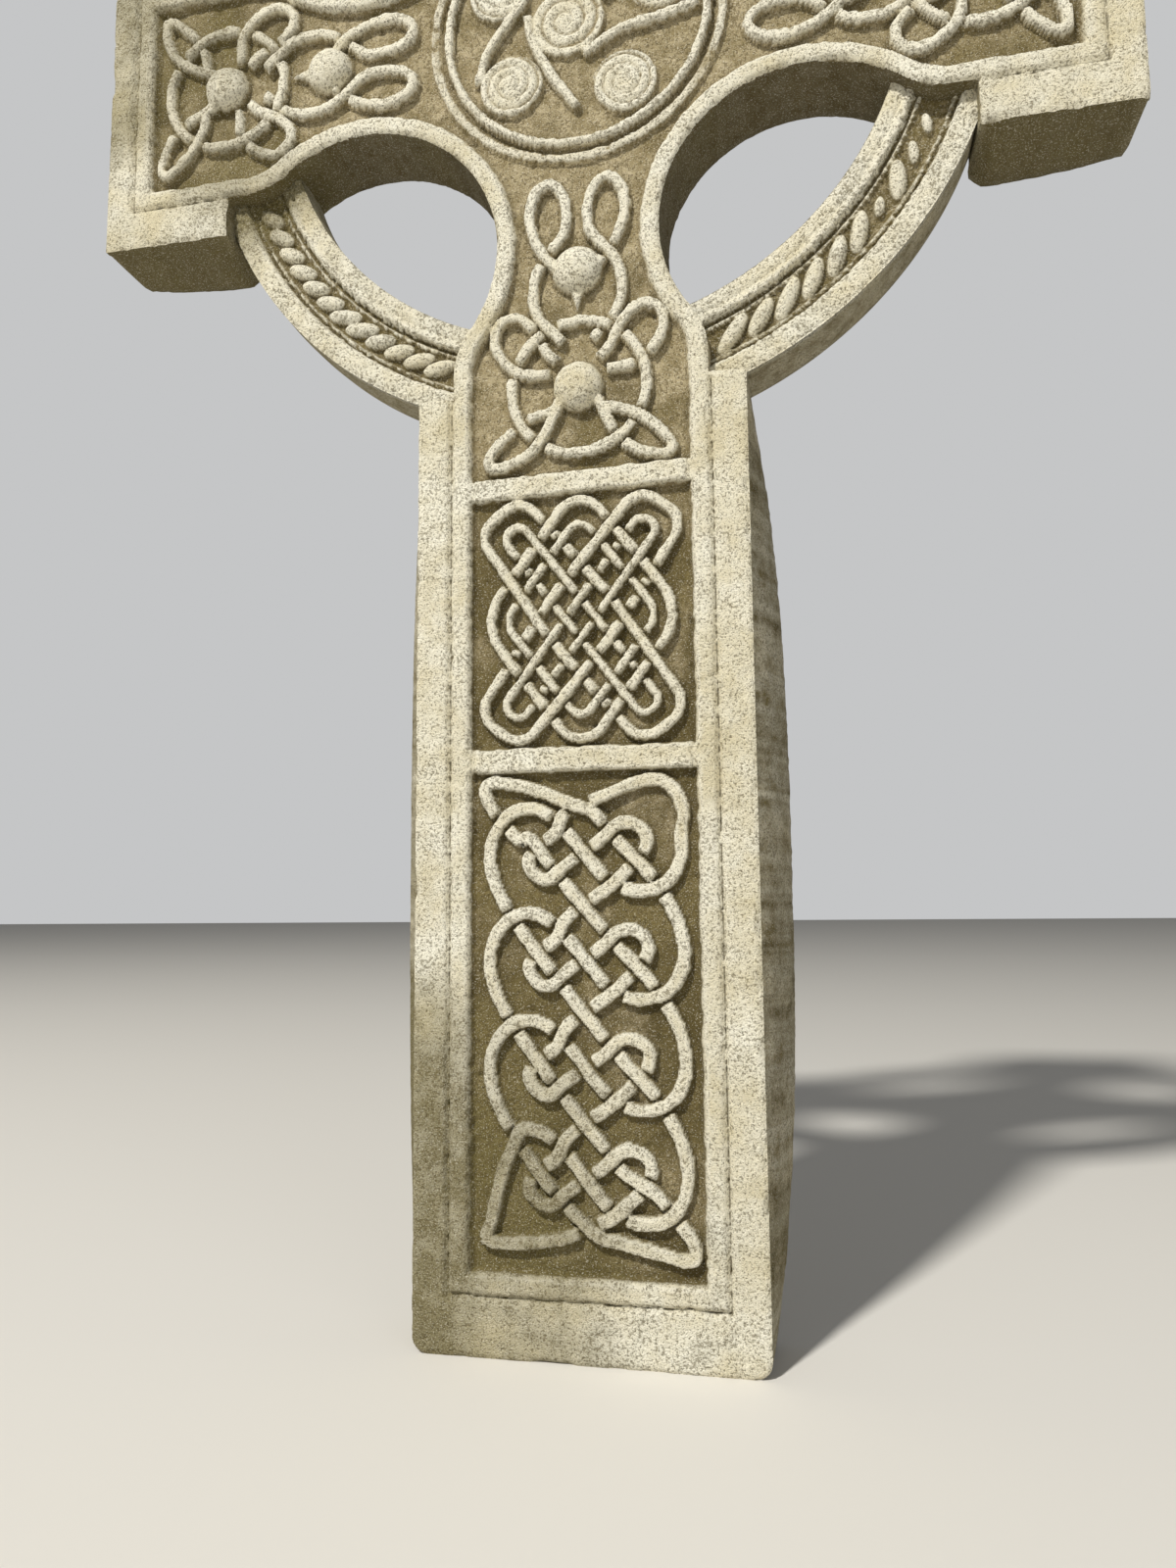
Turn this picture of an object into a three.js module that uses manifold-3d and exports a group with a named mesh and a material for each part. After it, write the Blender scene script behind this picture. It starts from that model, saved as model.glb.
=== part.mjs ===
// Celtic ring cross, a garden gravestone cast in one piece.
// Millimetres, +Z up, the carved face looks towards -Y, origin at the middle of the foot.
import * as THREE from 'three';
import { mergeVertices } from 'three/addons/utils/BufferGeometryUtils.js';
import Module from 'manifold-3d';

const wasm = await Module();
wasm.setup();

// Overall sizes
const SPAN = 340; // tip to tip of the side arms
const THICKNESS = 28; // flat face to flat back
const CENTRE_HEIGHT = 416; // middle of the ring above the foot
const TOP_REACH = 170; // middle of the ring to the top of the head
const SHAFT_WIDTH = 105;
const ARM_WIDTH = 111;
const FOOT_CORNER = 5; // rounding of the two corners of the foot
const FOOT_CORNER_STEPS = 3;
const BACK_ROUNDING = 3; // how far the back edge draws in
const SHAFT_BULGE = 8.8; // the shaft's sides swell this far behind the face, at mid height
const LIMB_BULGE = 5; // the same on the arms
const PIT_BULGE = 0.5; // the same round the hollows
const BULGE_NEAR_SHARE = 0.7; // this share of the swelling is reached at the nearer depth
const BULGE_NEAR_DEPTH = 0.45; // depths as shares of the thickness
const BULGE_FULL_DEPTH = 0.8;

// Mouldings round the panels
const FRAME_HALF = 41; // axis to the groove outside the moulding
const MOULDING = 7; // width of the moulding
const MOULDING_BEVEL = 1.8; // slope from the moulding down to the panel
const END_BAND = 10.5; // flat band at the end of an arm
const FOOT_BAND = 17.5; // flat band above the foot
const GROOVE_WIDTH = 1.4;
const GROOVE_DEPTH = 1.5;
const PANEL_DEPTH = 3.4;
const CUT_OVERSHOOT = 1; // how far a cutting solid reaches beyond what it cuts

// Armpits, the round hollows between shaft and arms
const PIT_OFFSET = 73.2; // axis to the middle of the hollow, both ways
const PIT_RADIUS = 46.7;
const PIT_FILLET = 24; // reverse curve where a hollow runs out into the frame
const PIT_STEPS = 11; // facets along a hollow
const FILLET_STEPS = 2;

// Ring
const RING_OUTER = 133.5;
const RING_INNER = 104.5;
const RING_SETBACK = 5; // its face lies behind the face of the cross
const RING_BACK_GAP = 2.5; // its back lies before the back of the cross
const RING_INNER_BORDER = 8;
const RING_OUTER_BORDER = 7.5;
const RING_CHANNEL_DEPTH = 3;
const RING_SIDES = 44; // facets round the whole ring
const ROPE_LOBES_LEFT = 12; // turns of the rope in a quarter of the ring left of the shaft
const ROPE_LOBES_RIGHT = 10;
const ROPE_LOBE_STRETCH = 1.4; // length of a lobe over the distance between two lobes
const ROPE_LOBE_WIDTH = 5.6;
const ROPE_TWIST = 32; // degrees between a lobe and the run of the rope
const ROPE_CLEARANCE = 3; // between the end of a rope and the moulding
const SHOULDER_GAP = 0.8; // the flat bands stop this far outside the ring

// Bars across the shaft
const BAR_SINK = 0.2; // a bar's top lies this far behind the face
const LOWER_BAR_HEIGHT = 170.3; // underside above the foot
const LOWER_BAR_WIDTH = 8.2;
const UPPER_BAR_HEIGHT = 257.6;
const UPPER_BAR_WIDTH = 7.8;
const UPPER_BAR_SLOPE = 0.022; // it rises a little to the right

// Strands of the knotwork
const STRAND_WIDTH = 4.4;
const KNOT_STRAND_WIDTH = 3.7;
const FINE_STRAND_WIDTH = 3.2;
const STRAND_CREST = 0.56; // share of a strand's width that is its flat top
const STRAND_SINK = 0.5; // a strand's top lies this far behind the face
const STRAND_GAP = 0.7; // clear space beside the strand that passes over
const STRAND_ROOT = 0.6; // how far a strand reaches into the panel behind it
const SMOOTH_STEPS = 8; // points between two given points of a curve
const TURN_STEP = THREE.MathUtils.degToRad(54); // bend between two sections of a strand
const CORNER_STEP = THREE.MathUtils.degToRad(15); // between the points of a rounded corner
const RUN_STEP = 30; // longest run between two sections
const PATH_STEP = 0.8; // between the points of a path before it is thinned
const SHORTEST_RUN = 0.4; // a visible run shorter than this share of its width is left out
const MITRE_LIMIT = 0.75;
const RIB_SPANS = 2; // spans of a rib made in one piece

// One step of the curves below, as a share of half a panel's width
const CURVE_STEP = 1 / 33.5;

// The boss knot at the outer end of each limb's panel
const KNOT_FROM_EDGE = 27.3; // panel edge to the middle of the knot
const KNOT_RING = 21.7;
const KNOT_RING_STEPS = 60; // points round the ring before it is thinned
const BOSS_RADIUS = 8.3;
const BOSS_HEIGHT = 6.6; // above the panel
const BOSS_SPACING = 38.8;
const BOSS_SIDES = 9;
const BOSS_RINGS = 6;
const BEAK_LENGTH = 15; // from the middle of the inner boss to the tip of the small point beside it
const BEAK_WIDTH = 6;
const BEAK_ROOT = 6.6; // from the middle of the inner boss to the root of the point, inside the boss

// Curves of that knot in curve steps, [across, towards the crossing] from its middle, right half only
const NEAR_LOOP = [
  [7, 9], [10, 12], [12.5, 17], [15.5, 21.5], [19.5, 24.5], [24, 24], [26.7, 20.5], [26.3, 14.5], [22, 8.5],
  [17, 5.5], [9, 5],
];
const FAR_LOOP = [
  [8, -7.5], [13.5, -8.5], [19, -11], [24.5, -15.5], [28.5, -20.5], [28.7, -23.3], [25.5, -24], [19.5, -22.5],
  [14, -19], [10.5, -14], [7.5, -8], [6, -4],
];
const EAR_LOOP = [
  [5, 15], [8.5, 19], [12.3, 23.5], [14.2, 29.5], [13.8, 36], [11.5, 41.5], [7.5, 46.5], [4, 51.5],
  [3.3, 57.5], [4.5, 64], [8, 68], [12.3, 67], [15, 62], [15.2, 55.5], [13.3, 49], [10.5, 44], [7, 40],
];

// The chain in the lowest panel: curves of one unit in curve steps, [across, up] from the middle of the unit
const CHAIN_UNITS = 4;
const CHAIN_TOP_MARGIN = 24.4; // bar to the middle of the uppermost unit
const CHAIN_FOOT_MARGIN = 26.4; // moulding above the foot to the middle of the lowest unit
const CHAIN_PITCH_STEPS = 31.7; // from one unit to the next
const CHAIN_HOOKS = [
  [-4.5, -19.2], [8, -10.2], [12.5, -6], [17, -1.8], [19.3, 2.8], [18, 6.8], [14.3, 8.8], [10, 8], [5.5, 3.8],
  [-5, -3.5], [-9.5, -7.5], [-13.5, -7.2], [-16.5, -3], [-14.5, 1.8], [-8.5, 5.8],
];
const CHAIN_SIDE = [
  [19.5, 25.5], [24, 19], [27.5, 12.5], [29.3, 6], [29.5, 0], [27.5, -6], [23.5, -10], [18, -11.5], [13, -11],
  [8, -8.5], [4, -4.5], [-4, 5.5], [-9, 10.5], [-14, 13.5], [-19, 13.5], [-24, 10.5], [-27.5, 5], [-28.5, -1],
  [-27.5, -7], [-25, -13],
];
const CHAIN_SIDE_TURN = 3; // points of the side curve before it bulges outwards
const CHAIN_SIDE_ARCH = 15; // points of the side curve up to the far end of its arch
const CHAIN_DIAGONAL = [
  [-21, -20], [-16, -27], [-11, -33.5], [-6, -40], [-2, -45], [3, -51], [8, -57], [12, -61.5],
];
const CHAIN_TOP_RIGHT = [[-4.5, 12.5], [8, 17.5], [17, 21], [24, 21], [28.5, 17], [30, 11]];
const CHAIN_BOTTOM_LEFT = [
  [-21.5, 8], [-24, 3], [-26, -4], [-28, -13], [-29, -18], [-20, -18.7], [-10, -17.5], [-4.5, -16],
];
const CHAIN_TOP_LEFT = [
  [-5, 15.5], [-12, 18.5], [-20, 21], [-27, 22], [-30, 20], [-29, 16], [-26, 11], [-22, 7], [-19, 4],
];
const CHAIN_BOTTOM_RIGHT = [
  [2, -14.5], [10, -17], [20, -19], [30, -21], [31, -17], [28, -12], [23, -6], [19, -2],
];
const CHAIN_TOP_MIDDLE = [[-1, 14]];

// The plait in the middle panel, in steps that are shares of half the panel's height
const PLAIT_STEP = 1 / 39.5;
const PLAIT_SLOPE = 4 / 3;
const PLAIT_OUTER_WIDTH = 3.4;
const PLAIT_INNER_WIDTH = 2.6;
const PLAIT_DIAMONDS = [
  { reach: 42.7, topRadius: 8, sideRadius: 15, width: PLAIT_OUTER_WIDTH },
  { reach: 32.5, topRadius: 4, sideRadius: 7, width: PLAIT_INNER_WIDTH },
];
const PLAIT_LOOPS = [
  { reach: 43, end: 9, waist: 11.4, radius: 7, width: PLAIT_OUTER_WIDTH },
  { reach: 36.5, end: 3.7, waist: 3.9, radius: 3.3, width: PLAIT_INNER_WIDTH },
];

// Roundel at the crossing
const ROUNDEL_RISE = 3; // its middle lies above the middle of the ring
const ROUNDEL_RADIUS = 43.4;
const ROUNDEL_RIM = 2.8;
const ROUNDEL_OUTER_RIDGE = 48.4;
const ROUNDEL_SIDES = 22;
const SPIRAL_RADIUS = 11;
const SPIRAL_ORBIT = 29.5;
const SPIRAL_ANGLES = [18, 84, 150, 222, 303]; // degrees, where the outer spirals stand round the middle
const CENTRAL_SPIRAL_RADIUS = 13;
const CENTRAL_SPIRAL_SHIFT = 3; // its middle lies this far to the left
const SPIRAL_TURNS = 1.8;
const SPIRAL_EYE = 1; // radius where a spiral ends
const SPIRAL_SIDES = 8; // facets in one turn of a spiral
// Strands that tie the spirals together, [x, z] in millimetres from the roundel's middle
const ROUNDEL_TIES = [
  [[3, -12.7], [16, -6.2], [28, -4.2], [40, -1.5]],
  [[-16, 3.3], [-15, -4], [-9, -16.7], [0, -30.7]],
  [[-17, 10], [-29, -5.7], [-33, -17]],
  [[-8, 12.3], [-4, 20], [-6.5, 27]],
  [[9, 7.3], [18, 13]],
];

const stone = new THREE.MeshStandardMaterial({ color: 0xb9b08a, roughness: 0.93, metalness: 0 });

const panelHalf = FRAME_HALF - MOULDING;
const shaftHalf = SHAFT_WIDTH / 2;
const armHalf = ARM_WIDTH / 2;
const armReach = SPAN / 2;
const height = CENTRE_HEIGHT + TOP_REACH;
// The flat bands stop here, measured from the crossing.
const bandStart = Math.sqrt(RING_OUTER ** 2 - shaftHalf ** 2) + SHOULDER_GAP;
const bossProud = BOSS_HEIGHT - PANEL_DEPTH;
const frontY = -(THICKNESS - bossProud) / 2; // keeps the middle of the whole depth at y = 0

const polar = (radius, angle) => [radius * Math.cos(angle), radius * Math.sin(angle)];
const radians = THREE.MathUtils.degToRad;

// Solids

function solidFrom(positions, triangles) {
  return new wasm.Manifold(new wasm.Mesh({
    numProp: 3,
    vertProperties: new Float32Array(positions),
    triVerts: new Uint32Array(triangles),
  }));
}

function solidOf(geometry) {
  const bare = geometry.clone();
  bare.deleteAttribute('normal');
  bare.deleteAttribute('uv');
  const merged = mergeVertices(bare, 1e-4);
  return solidFrom(merged.attributes.position.array, merged.index.array);
}

function geometryOf(solid) {
  const mesh = solid.getMesh();
  const geometry = new THREE.BufferGeometry();
  geometry.setAttribute('position', new THREE.BufferAttribute(new Float32Array(mesh.vertProperties), 3));
  geometry.setIndex(new THREE.BufferAttribute(new Uint32Array(mesh.triVerts), 1));
  const flat = geometry.toNonIndexed();
  flat.computeVertexNormals();
  return flat;
}

// A solid through outlines of equal point counts, each [x, z] list at its own depth behind the face.
function loft(layers) {
  const count = layers[0].points.length;
  const positions = [];
  for (const layer of layers) {
    for (const [x, z] of layer.points) positions.push(x, frontY + layer.depth, z);
  }
  const triangles = [];
  for (let level = 0; level + 1 < layers.length; level += 1) {
    for (let i = 0; i < count; i += 1) {
      const j = (i + 1) % count;
      const [here, next] = [level * count, (level + 1) * count];
      triangles.push(here + i, next + i, next + j, here + i, next + j, here + j);
    }
  }
  const outline = (layer) => layer.points.map(([x, z]) => new THREE.Vector2(x, z));
  for (const [a, b, c] of THREE.ShapeUtils.triangulateShape(outline(layers[0]), [])) triangles.push(a, b, c);
  const last = (layers.length - 1) * count;
  for (const [a, b, c] of THREE.ShapeUtils.triangulateShape(outline(layers.at(-1)), [])) {
    triangles.push(last + a, last + c, last + b);
  }
  return solidFrom(positions, triangles);
}

const slab = (points, from, to) => loft([{ points, depth: from }, { points, depth: to }]);

const box = (x0, x1, z0, z1, from, to) => slab([[x0, z0], [x1, z0], [x1, z1], [x0, z1]], from, to);

function joined(solids) {
  let pool = [...solids];
  while (pool.length > 1) {
    const next = [];
    for (let i = 0; i < pool.length; i += 2) {
      next.push(i + 1 < pool.length ? pool[i].add(pool[i + 1]) : pool[i]);
    }
    pool = next;
  }
  return pool[0];
}

// Outlines

function arc(cx, cz, radius, from, to, steps) {
  return Array.from({ length: steps + 1 }, (_, i) => {
    const [x, z] = polar(radius, from + ((to - from) * i) / steps);
    return [cx + x, cz + z];
  });
}

const along = (from, to, shares) => shares.map((t) => [
  from[0] + (to[0] - from[0]) * t,
  from[1] + (to[1] - from[1]) * t,
]);

// One armpit in the corner x > 0, z > 0 about the crossing, from the limb along z round to the limb along x.
function armpit(inset) {
  const half = FRAME_HALF - inset;
  const radius = PIT_RADIUS + inset;
  const fillet = PIT_FILLET - inset;
  const filletX = half - fillet;
  const filletZ = PIT_OFFSET + Math.sqrt((radius + fillet) ** 2 - (PIT_OFFSET - filletX) ** 2);
  const turn = Math.atan2(filletZ - PIT_OFFSET, PIT_OFFSET - filletX);
  return [
    ...arc(filletX, filletZ, fillet, 0, -turn, FILLET_STEPS),
    ...arc(PIT_OFFSET, PIT_OFFSET, radius, Math.PI - turn, 1.5 * Math.PI + turn, PIT_STEPS).slice(1, -1),
    ...arc(filletZ, filletX, fillet, Math.PI / 2 + turn, Math.PI / 2, FILLET_STEPS),
  ];
}

// A run drawn in the corner x > 0, z > 0, moved to another corner and kept anticlockwise.
function inCorner(points, sx, sz) {
  const turned = points.map(([x, z, ...rest]) => [x * sx, CENTRE_HEIGHT + z * sz, ...rest]);
  return sx * sz < 0 ? turned : turned.reverse();
}

// Outline of the whole cross without its ring, anticlockwise seen from the front.
// The third number of a point is how far the side swells there.
function crossOutline() {
  const limbShares = [0, 0.5, 0.85, 1];
  const limbSwell = (reach) => (point) => {
    const out = Math.max(Math.abs(point[0]), Math.abs(point[1])) / reach;
    return [...point, LIMB_BULGE * (1 - out ** 8)];
  };
  const pit = armpit(0).map((point) => [...point, PIT_BULGE]);
  const band = [[bandStart, FRAME_HALF, PIT_BULGE]];
  const armSide = along([bandStart, armHalf], [armReach, armHalf], limbShares).map(limbSwell(armReach));
  const topSide = along([shaftHalf, TOP_REACH], [shaftHalf, bandStart], limbShares).map(limbSwell(TOP_REACH));
  const shoulder = [[FRAME_HALF, bandStart, PIT_BULGE]];
  const upperCorner = [...topSide, ...shoulder, ...pit, ...band, ...armSide];
  const lowerCorner = [...shoulder, ...pit, ...band, ...armSide];

  const shaftTop = CENTRE_HEIGHT - bandStart;
  const shaftShares = [0.07, 0.18, 0.33, 0.5, 0.67, 0.82, 0.93, 1];
  const shaftSwell = (z) => SHAFT_BULGE * (1 - Math.abs((2 * z) / shaftTop - 1) ** 2.8);
  const shaftSide = along([shaftHalf, FOOT_CORNER], [shaftHalf, shaftTop], shaftShares)
    .map(([x, z]) => [x, z, shaftSwell(z)]);
  const cornerX = shaftHalf - FOOT_CORNER;
  const foot = arc(cornerX, FOOT_CORNER, FOOT_CORNER, 1.5 * Math.PI, 2 * Math.PI, FOOT_CORNER_STEPS)
    .map((point) => [...point, 0]);
  const rightFoot = [...foot, ...shaftSide];
  const leftFoot = rightFoot.map(([x, z, swell]) => [-x, z, swell]).reverse();
  return [
    ...rightFoot,
    ...inCorner(lowerCorner, 1, -1),
    ...inCorner(upperCorner, 1, 1),
    ...inCorner(upperCorner, -1, 1),
    ...inCorner(lowerCorner, -1, -1),
    ...leftFoot,
  ];
}

// The panel field inside the mouldings, set in by `inset` from their outer edge.
function panelOutline(inset) {
  const half = FRAME_HALF - inset;
  const pit = armpit(inset);
  const end = armReach - END_BAND - inset;
  const top = TOP_REACH - END_BAND - inset;
  const bottom = FOOT_BAND + inset;
  const upperCorner = [[half, top], ...pit, [end, half]];
  const lowerCorner = [...pit, [end, half]];
  return [
    [half, bottom],
    ...inCorner(lowerCorner, 1, -1),
    ...inCorner(upperCorner, 1, 1),
    ...inCorner(upperCorner, -1, 1),
    ...inCorner(lowerCorner, -1, -1),
    [-half, bottom],
  ];
}

// Every point of an outline pushed outwards, by its own distance, but never below the foot.
function spread(points, distanceAt) {
  const count = points.length;
  return points.map((point, i) => {
    const [x, z] = point;
    const [px, pz] = points[(i + count - 1) % count];
    const [nx, nz] = points[(i + 1) % count];
    const before = new THREE.Vector2(z - pz, px - x).normalize();
    const after = new THREE.Vector2(nz - z, x - nx).normalize();
    const lean = before.clone().add(after).normalize();
    const length = distanceAt(point) / Math.max(MITRE_LIMIT, lean.dot(before));
    return [x + lean.x * length, Math.max(z + lean.y * length, 0)];
  });
}

// Parts of the casting

function crossBody() {
  const outline = crossOutline();
  const swell = (share, inset) => spread(outline, (point) => point[2] * share - inset);
  return loft([
    { points: swell(0, 0), depth: 0 },
    { points: swell(BULGE_NEAR_SHARE, 0), depth: THICKNESS * BULGE_NEAR_DEPTH },
    { points: swell(1, 0), depth: THICKNESS * BULGE_FULL_DEPTH },
    { points: swell(1, BACK_ROUNDING), depth: THICKNESS },
  ]);
}

function panelPocket() {
  const rim = MOULDING - MOULDING_BEVEL;
  const slope = (MOULDING_BEVEL / PANEL_DEPTH) * CUT_OVERSHOOT;
  return loft([
    { points: panelOutline(rim - slope), depth: -CUT_OVERSHOOT },
    { points: panelOutline(MOULDING), depth: PANEL_DEPTH },
  ]);
}

// Grooves between the flat bands and the mouldings, one run for each limb.
function grooves() {
  const inner = FRAME_HALF;
  const outer = FRAME_HALF + GROOVE_WIDTH;
  const cut = (x0, x1, z0, z1) => box(x0, x1, z0, z1, -CUT_OVERSHOOT, GROOVE_DEPTH);
  const cuts = [];
  const footZ = FOOT_BAND;
  const topZ = height - END_BAND;
  const above = CENTRE_HEIGHT + bandStart;
  const below = CENTRE_HEIGHT - bandStart;
  const endX = armReach - END_BAND;
  for (const side of [-1, 1]) {
    const [near, far] = side < 0 ? [-outer, -inner] : [inner, outer];
    cuts.push(cut(near, far, footZ - GROOVE_WIDTH, below + CUT_OVERSHOOT));
    cuts.push(cut(near, far, above - CUT_OVERSHOOT, topZ + GROOVE_WIDTH));
    const armEnd = endX + GROOVE_WIDTH;
    const armStart = bandStart - CUT_OVERSHOOT;
    const [x0, x1] = side < 0 ? [-armEnd, -armStart] : [armStart, armEnd];
    cuts.push(cut(x0, x1, CENTRE_HEIGHT - outer, CENTRE_HEIGHT - inner));
    cuts.push(cut(x0, x1, CENTRE_HEIGHT + inner, CENTRE_HEIGHT + outer));
    const [e0, e1] = side < 0 ? [-armEnd, -endX] : [endX, armEnd];
    cuts.push(cut(e0, e1, CENTRE_HEIGHT - outer, CENTRE_HEIGHT + outer));
  }
  cuts.push(cut(-outer, outer, footZ - GROOVE_WIDTH, footZ));
  cuts.push(cut(-outer, outer, topZ, topZ + GROOVE_WIDTH));
  return joined(cuts);
}

function crossBar(z, width, slope) {
  const reach = panelHalf + MOULDING_BEVEL;
  const corners = [[-reach, z], [reach, z], [reach, z + width], [-reach, z + width]];
  return slab(corners.map(([x, cz]) => [x, cz + slope * x]), BAR_SINK, PANEL_DEPTH + STRAND_ROOT);
}

// Ring

const atCrossing = (points) => points.map(([x, z]) => [x, CENTRE_HEIGHT + z]);

function hoop(outer, inner, from, to, steps) {
  const full = 2 * Math.PI;
  const rim = slab(atCrossing(arc(0, 0, outer, 0, full, steps).slice(0, -1)), from, to);
  const through = atCrossing(arc(0, 0, inner, 0, full, steps).slice(0, -1));
  const hole = slab(through, from - CUT_OVERSHOOT, to + CUT_OVERSHOOT);
  return rim.subtract(hole);
}

function ringHoop() {
  const face = RING_SETBACK;
  const body = hoop(RING_OUTER, RING_INNER, face, THICKNESS - RING_BACK_GAP, RING_SIDES);
  const channel = hoop(
    RING_OUTER - RING_OUTER_BORDER,
    RING_INNER + RING_INNER_BORDER,
    face - CUT_OVERSHOOT,
    face + RING_CHANNEL_DEPTH,
    RING_SIDES,
  );
  return body.subtract(channel);
}

function ropes() {
  const middle = (RING_OUTER - RING_OUTER_BORDER + RING_INNER + RING_INNER_BORDER) / 2;
  const first = Math.asin((FRAME_HALF + ROPE_CLEARANCE) / middle);
  const last = Math.PI / 2 - first;
  const lobes = [];
  for (let quarter = 0; quarter < 4; quarter += 1) {
    const count = [ROPE_LOBES_RIGHT, ROPE_LOBES_LEFT, ROPE_LOBES_LEFT, ROPE_LOBES_RIGHT][quarter];
    const pitch = (last - first) / count;
    const length = middle * pitch * ROPE_LOBE_STRETCH;
    for (let i = 0; i < count; i += 1) {
      const angle = (quarter * Math.PI) / 2 + first + pitch * (i + 0.5);
      const [x, z] = polar(middle, angle);
      const lobe = new THREE.OctahedronGeometry(1);
      lobe.scale(length / 2, ROPE_LOBE_WIDTH / 2, ROPE_LOBE_WIDTH / 2);
      lobe.rotateY(-(angle + Math.PI / 2 + radians(ROPE_TWIST)));
      lobe.translate(x, frontY + RING_SETBACK + RING_CHANNEL_DEPTH, CENTRE_HEIGHT + z);
      lobes.push(solidOf(lobe));
    }
  }
  return joined(lobes);
}

// Strands

// Points along a smooth curve through the given ones, close together.
function smooth(points, closed) {
  const knots = points.map(([x, z]) => new THREE.Vector3(x, 0, z));
  const curve = new THREE.CatmullRomCurve3(knots, closed, 'catmullrom', 0.5);
  const found = curve.getPoints(points.length * SMOOTH_STEPS).map((p) => [p.x, p.z]);
  return closed ? found.slice(0, -1) : found;
}

function crossingsOf(strands) {
  const found = [];
  const cells = strands.flatMap(({ path, closed }, strand) => {
    const count = closed ? path.length : path.length - 1;
    const next = (i) => path[(i + 1) % path.length];
    return Array.from({ length: count }, (_, i) => ({ strand, i, a: path[i], b: next(i) }));
  });
  for (let m = 0; m < cells.length; m += 1) {
    for (let n = m + 1; n < cells.length; n += 1) {
      const [p, q] = [cells[m], cells[n]];
      if (p.b === q.a || q.b === p.a) continue;
      const [rx, rz] = [p.b[0] - p.a[0], p.b[1] - p.a[1]];
      const [sx, sz] = [q.b[0] - q.a[0], q.b[1] - q.a[1]];
      const cross = rx * sz - rz * sx;
      if (Math.abs(cross) < 1e-9) continue;
      const [dx, dz] = [q.a[0] - p.a[0], q.a[1] - p.a[1]];
      const t = (dx * sz - dz * sx) / cross;
      const u = (dx * rz - dz * rx) / cross;
      if (t < 0 || t >= 1 || u < 0 || u >= 1) continue;
      const sine = Math.abs(cross) / (Math.hypot(rx, rz) * Math.hypot(sx, sz));
      const passes = [{ strand: p.strand, at: p.i + t }, { strand: q.strand, at: q.i + u }];
      found.push({ passes, sine, over: null });
    }
  }
  return found;
}

// Marks which pass of each crossing lies on top, by turns along every strand.
function alternate(strands, crossings) {
  strands.forEach((_, strand) => {
    const visits = crossings.flatMap((crossing) => crossing.passes
      .map((pass, side) => ({ crossing, side, at: pass.at, strand: pass.strand })))
      .filter((visit) => visit.strand === strand)
      .sort((a, b) => a.at - b.at);
    const known = visits.findIndex((visit) => visit.crossing.over !== null);
    const start = Math.max(known, 0);
    let onTop = known < 0 || visits[start].crossing.over === visits[start].side;
    for (let i = 0; i < visits.length; i += 1) {
      const visit = visits[(start + i) % visits.length];
      if (visit.crossing.over === null) visit.crossing.over = onTop ? visit.side : 1 - visit.side;
      onTop = !onTop;
    }
  });
}

// The stretches of each strand that show, between the crossings where it dives under.
function weave(strands) {
  const crossings = crossingsOf(strands);
  alternate(strands, crossings);
  const runs = [];
  strands.forEach(({ path, closed, width }, strand) => {
    const count = path.length;
    const lengths = [0];
    for (let i = 1; i <= count; i += 1) {
      const [a, b] = [path[i - 1], path[i % count]];
      lengths.push(lengths[i - 1] + Math.hypot(b[0] - a[0], b[1] - a[1]));
    }
    const total = closed ? lengths[count] : lengths[count - 1];
    const distance = (at) => {
      const i = Math.floor(at);
      return lengths[i] + (lengths[i + 1] - lengths[i]) * (at - i);
    };
    const dives = [];
    for (const { passes, sine, over } of crossings) {
      passes.forEach((pass, side) => {
        if (pass.strand !== strand || side === over) return;
        const reach = (strands[passes[over].strand].width / 2 + STRAND_GAP) / sine;
        dives.push([distance(pass.at) - reach, distance(pass.at) + reach]);
      });
    }
    dives.sort((a, b) => a[0] - b[0]);
    if (dives.length === 0) {
      runs.push({ points: thinned(path, closed), closed, width });
      return;
    }
    const stops = closed ? [...dives, [dives[0][0] + total, 0]] : [[0, 0], ...dives, [total, 0]];
    for (let i = 0; i + 1 < stops.length; i += 1) {
      const [from, to] = [stops[i][1], stops[i + 1][0]];
      if (to - from < width * SHORTEST_RUN) continue;
      runs.push({ points: thinned(stretch(path, closed, lengths, from, to), false), closed: false, width });
    }
  });
  return runs;
}

// The piece of a path between two distances along it.
function stretch(path, closed, lengths, from, to) {
  const count = path.length;
  const total = lengths[closed ? count : count - 1];
  const pointAt = (distance) => {
    const d = closed ? ((distance % total) + total) % total : distance;
    let i = lengths.findIndex((length, k) => k > 0 && length >= d - 1e-9) - 1;
    i = Math.max(i, 0);
    const t = (d - lengths[i]) / (lengths[i + 1] - lengths[i]);
    const [a, b] = [path[i], path[(i + 1) % count]];
    return [a[0] + (b[0] - a[0]) * t, a[1] + (b[1] - a[1]) * t];
  };
  const steps = Math.max(2, Math.ceil((to - from) / PATH_STEP));
  return Array.from({ length: steps + 1 }, (_, i) => pointAt(from + ((to - from) * i) / steps));
}

// Keeps a point wherever the path has turned by TURN_STEP or run on for RUN_STEP.
function thinned(path, closed) {
  const kept = [path[0]];
  let turned = 0;
  let run = 0;
  const last = closed ? path.length : path.length - 1;
  for (let i = 1; i < last; i += 1) {
    const [a, b, c] = [path[i - 1], path[i], path[(i + 1) % path.length]];
    run += Math.hypot(b[0] - a[0], b[1] - a[1]);
    const before = Math.atan2(b[1] - a[1], b[0] - a[0]);
    const after = Math.atan2(c[1] - b[1], c[0] - b[0]);
    turned += Math.abs(Math.atan2(Math.sin(after - before), Math.cos(after - before)));
    if (turned < TURN_STEP && run < RUN_STEP) continue;
    kept.push(b);
    turned = 0;
    run = 0;
  }
  if (!closed) kept.push(path.at(-1));
  return kept;
}

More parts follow.
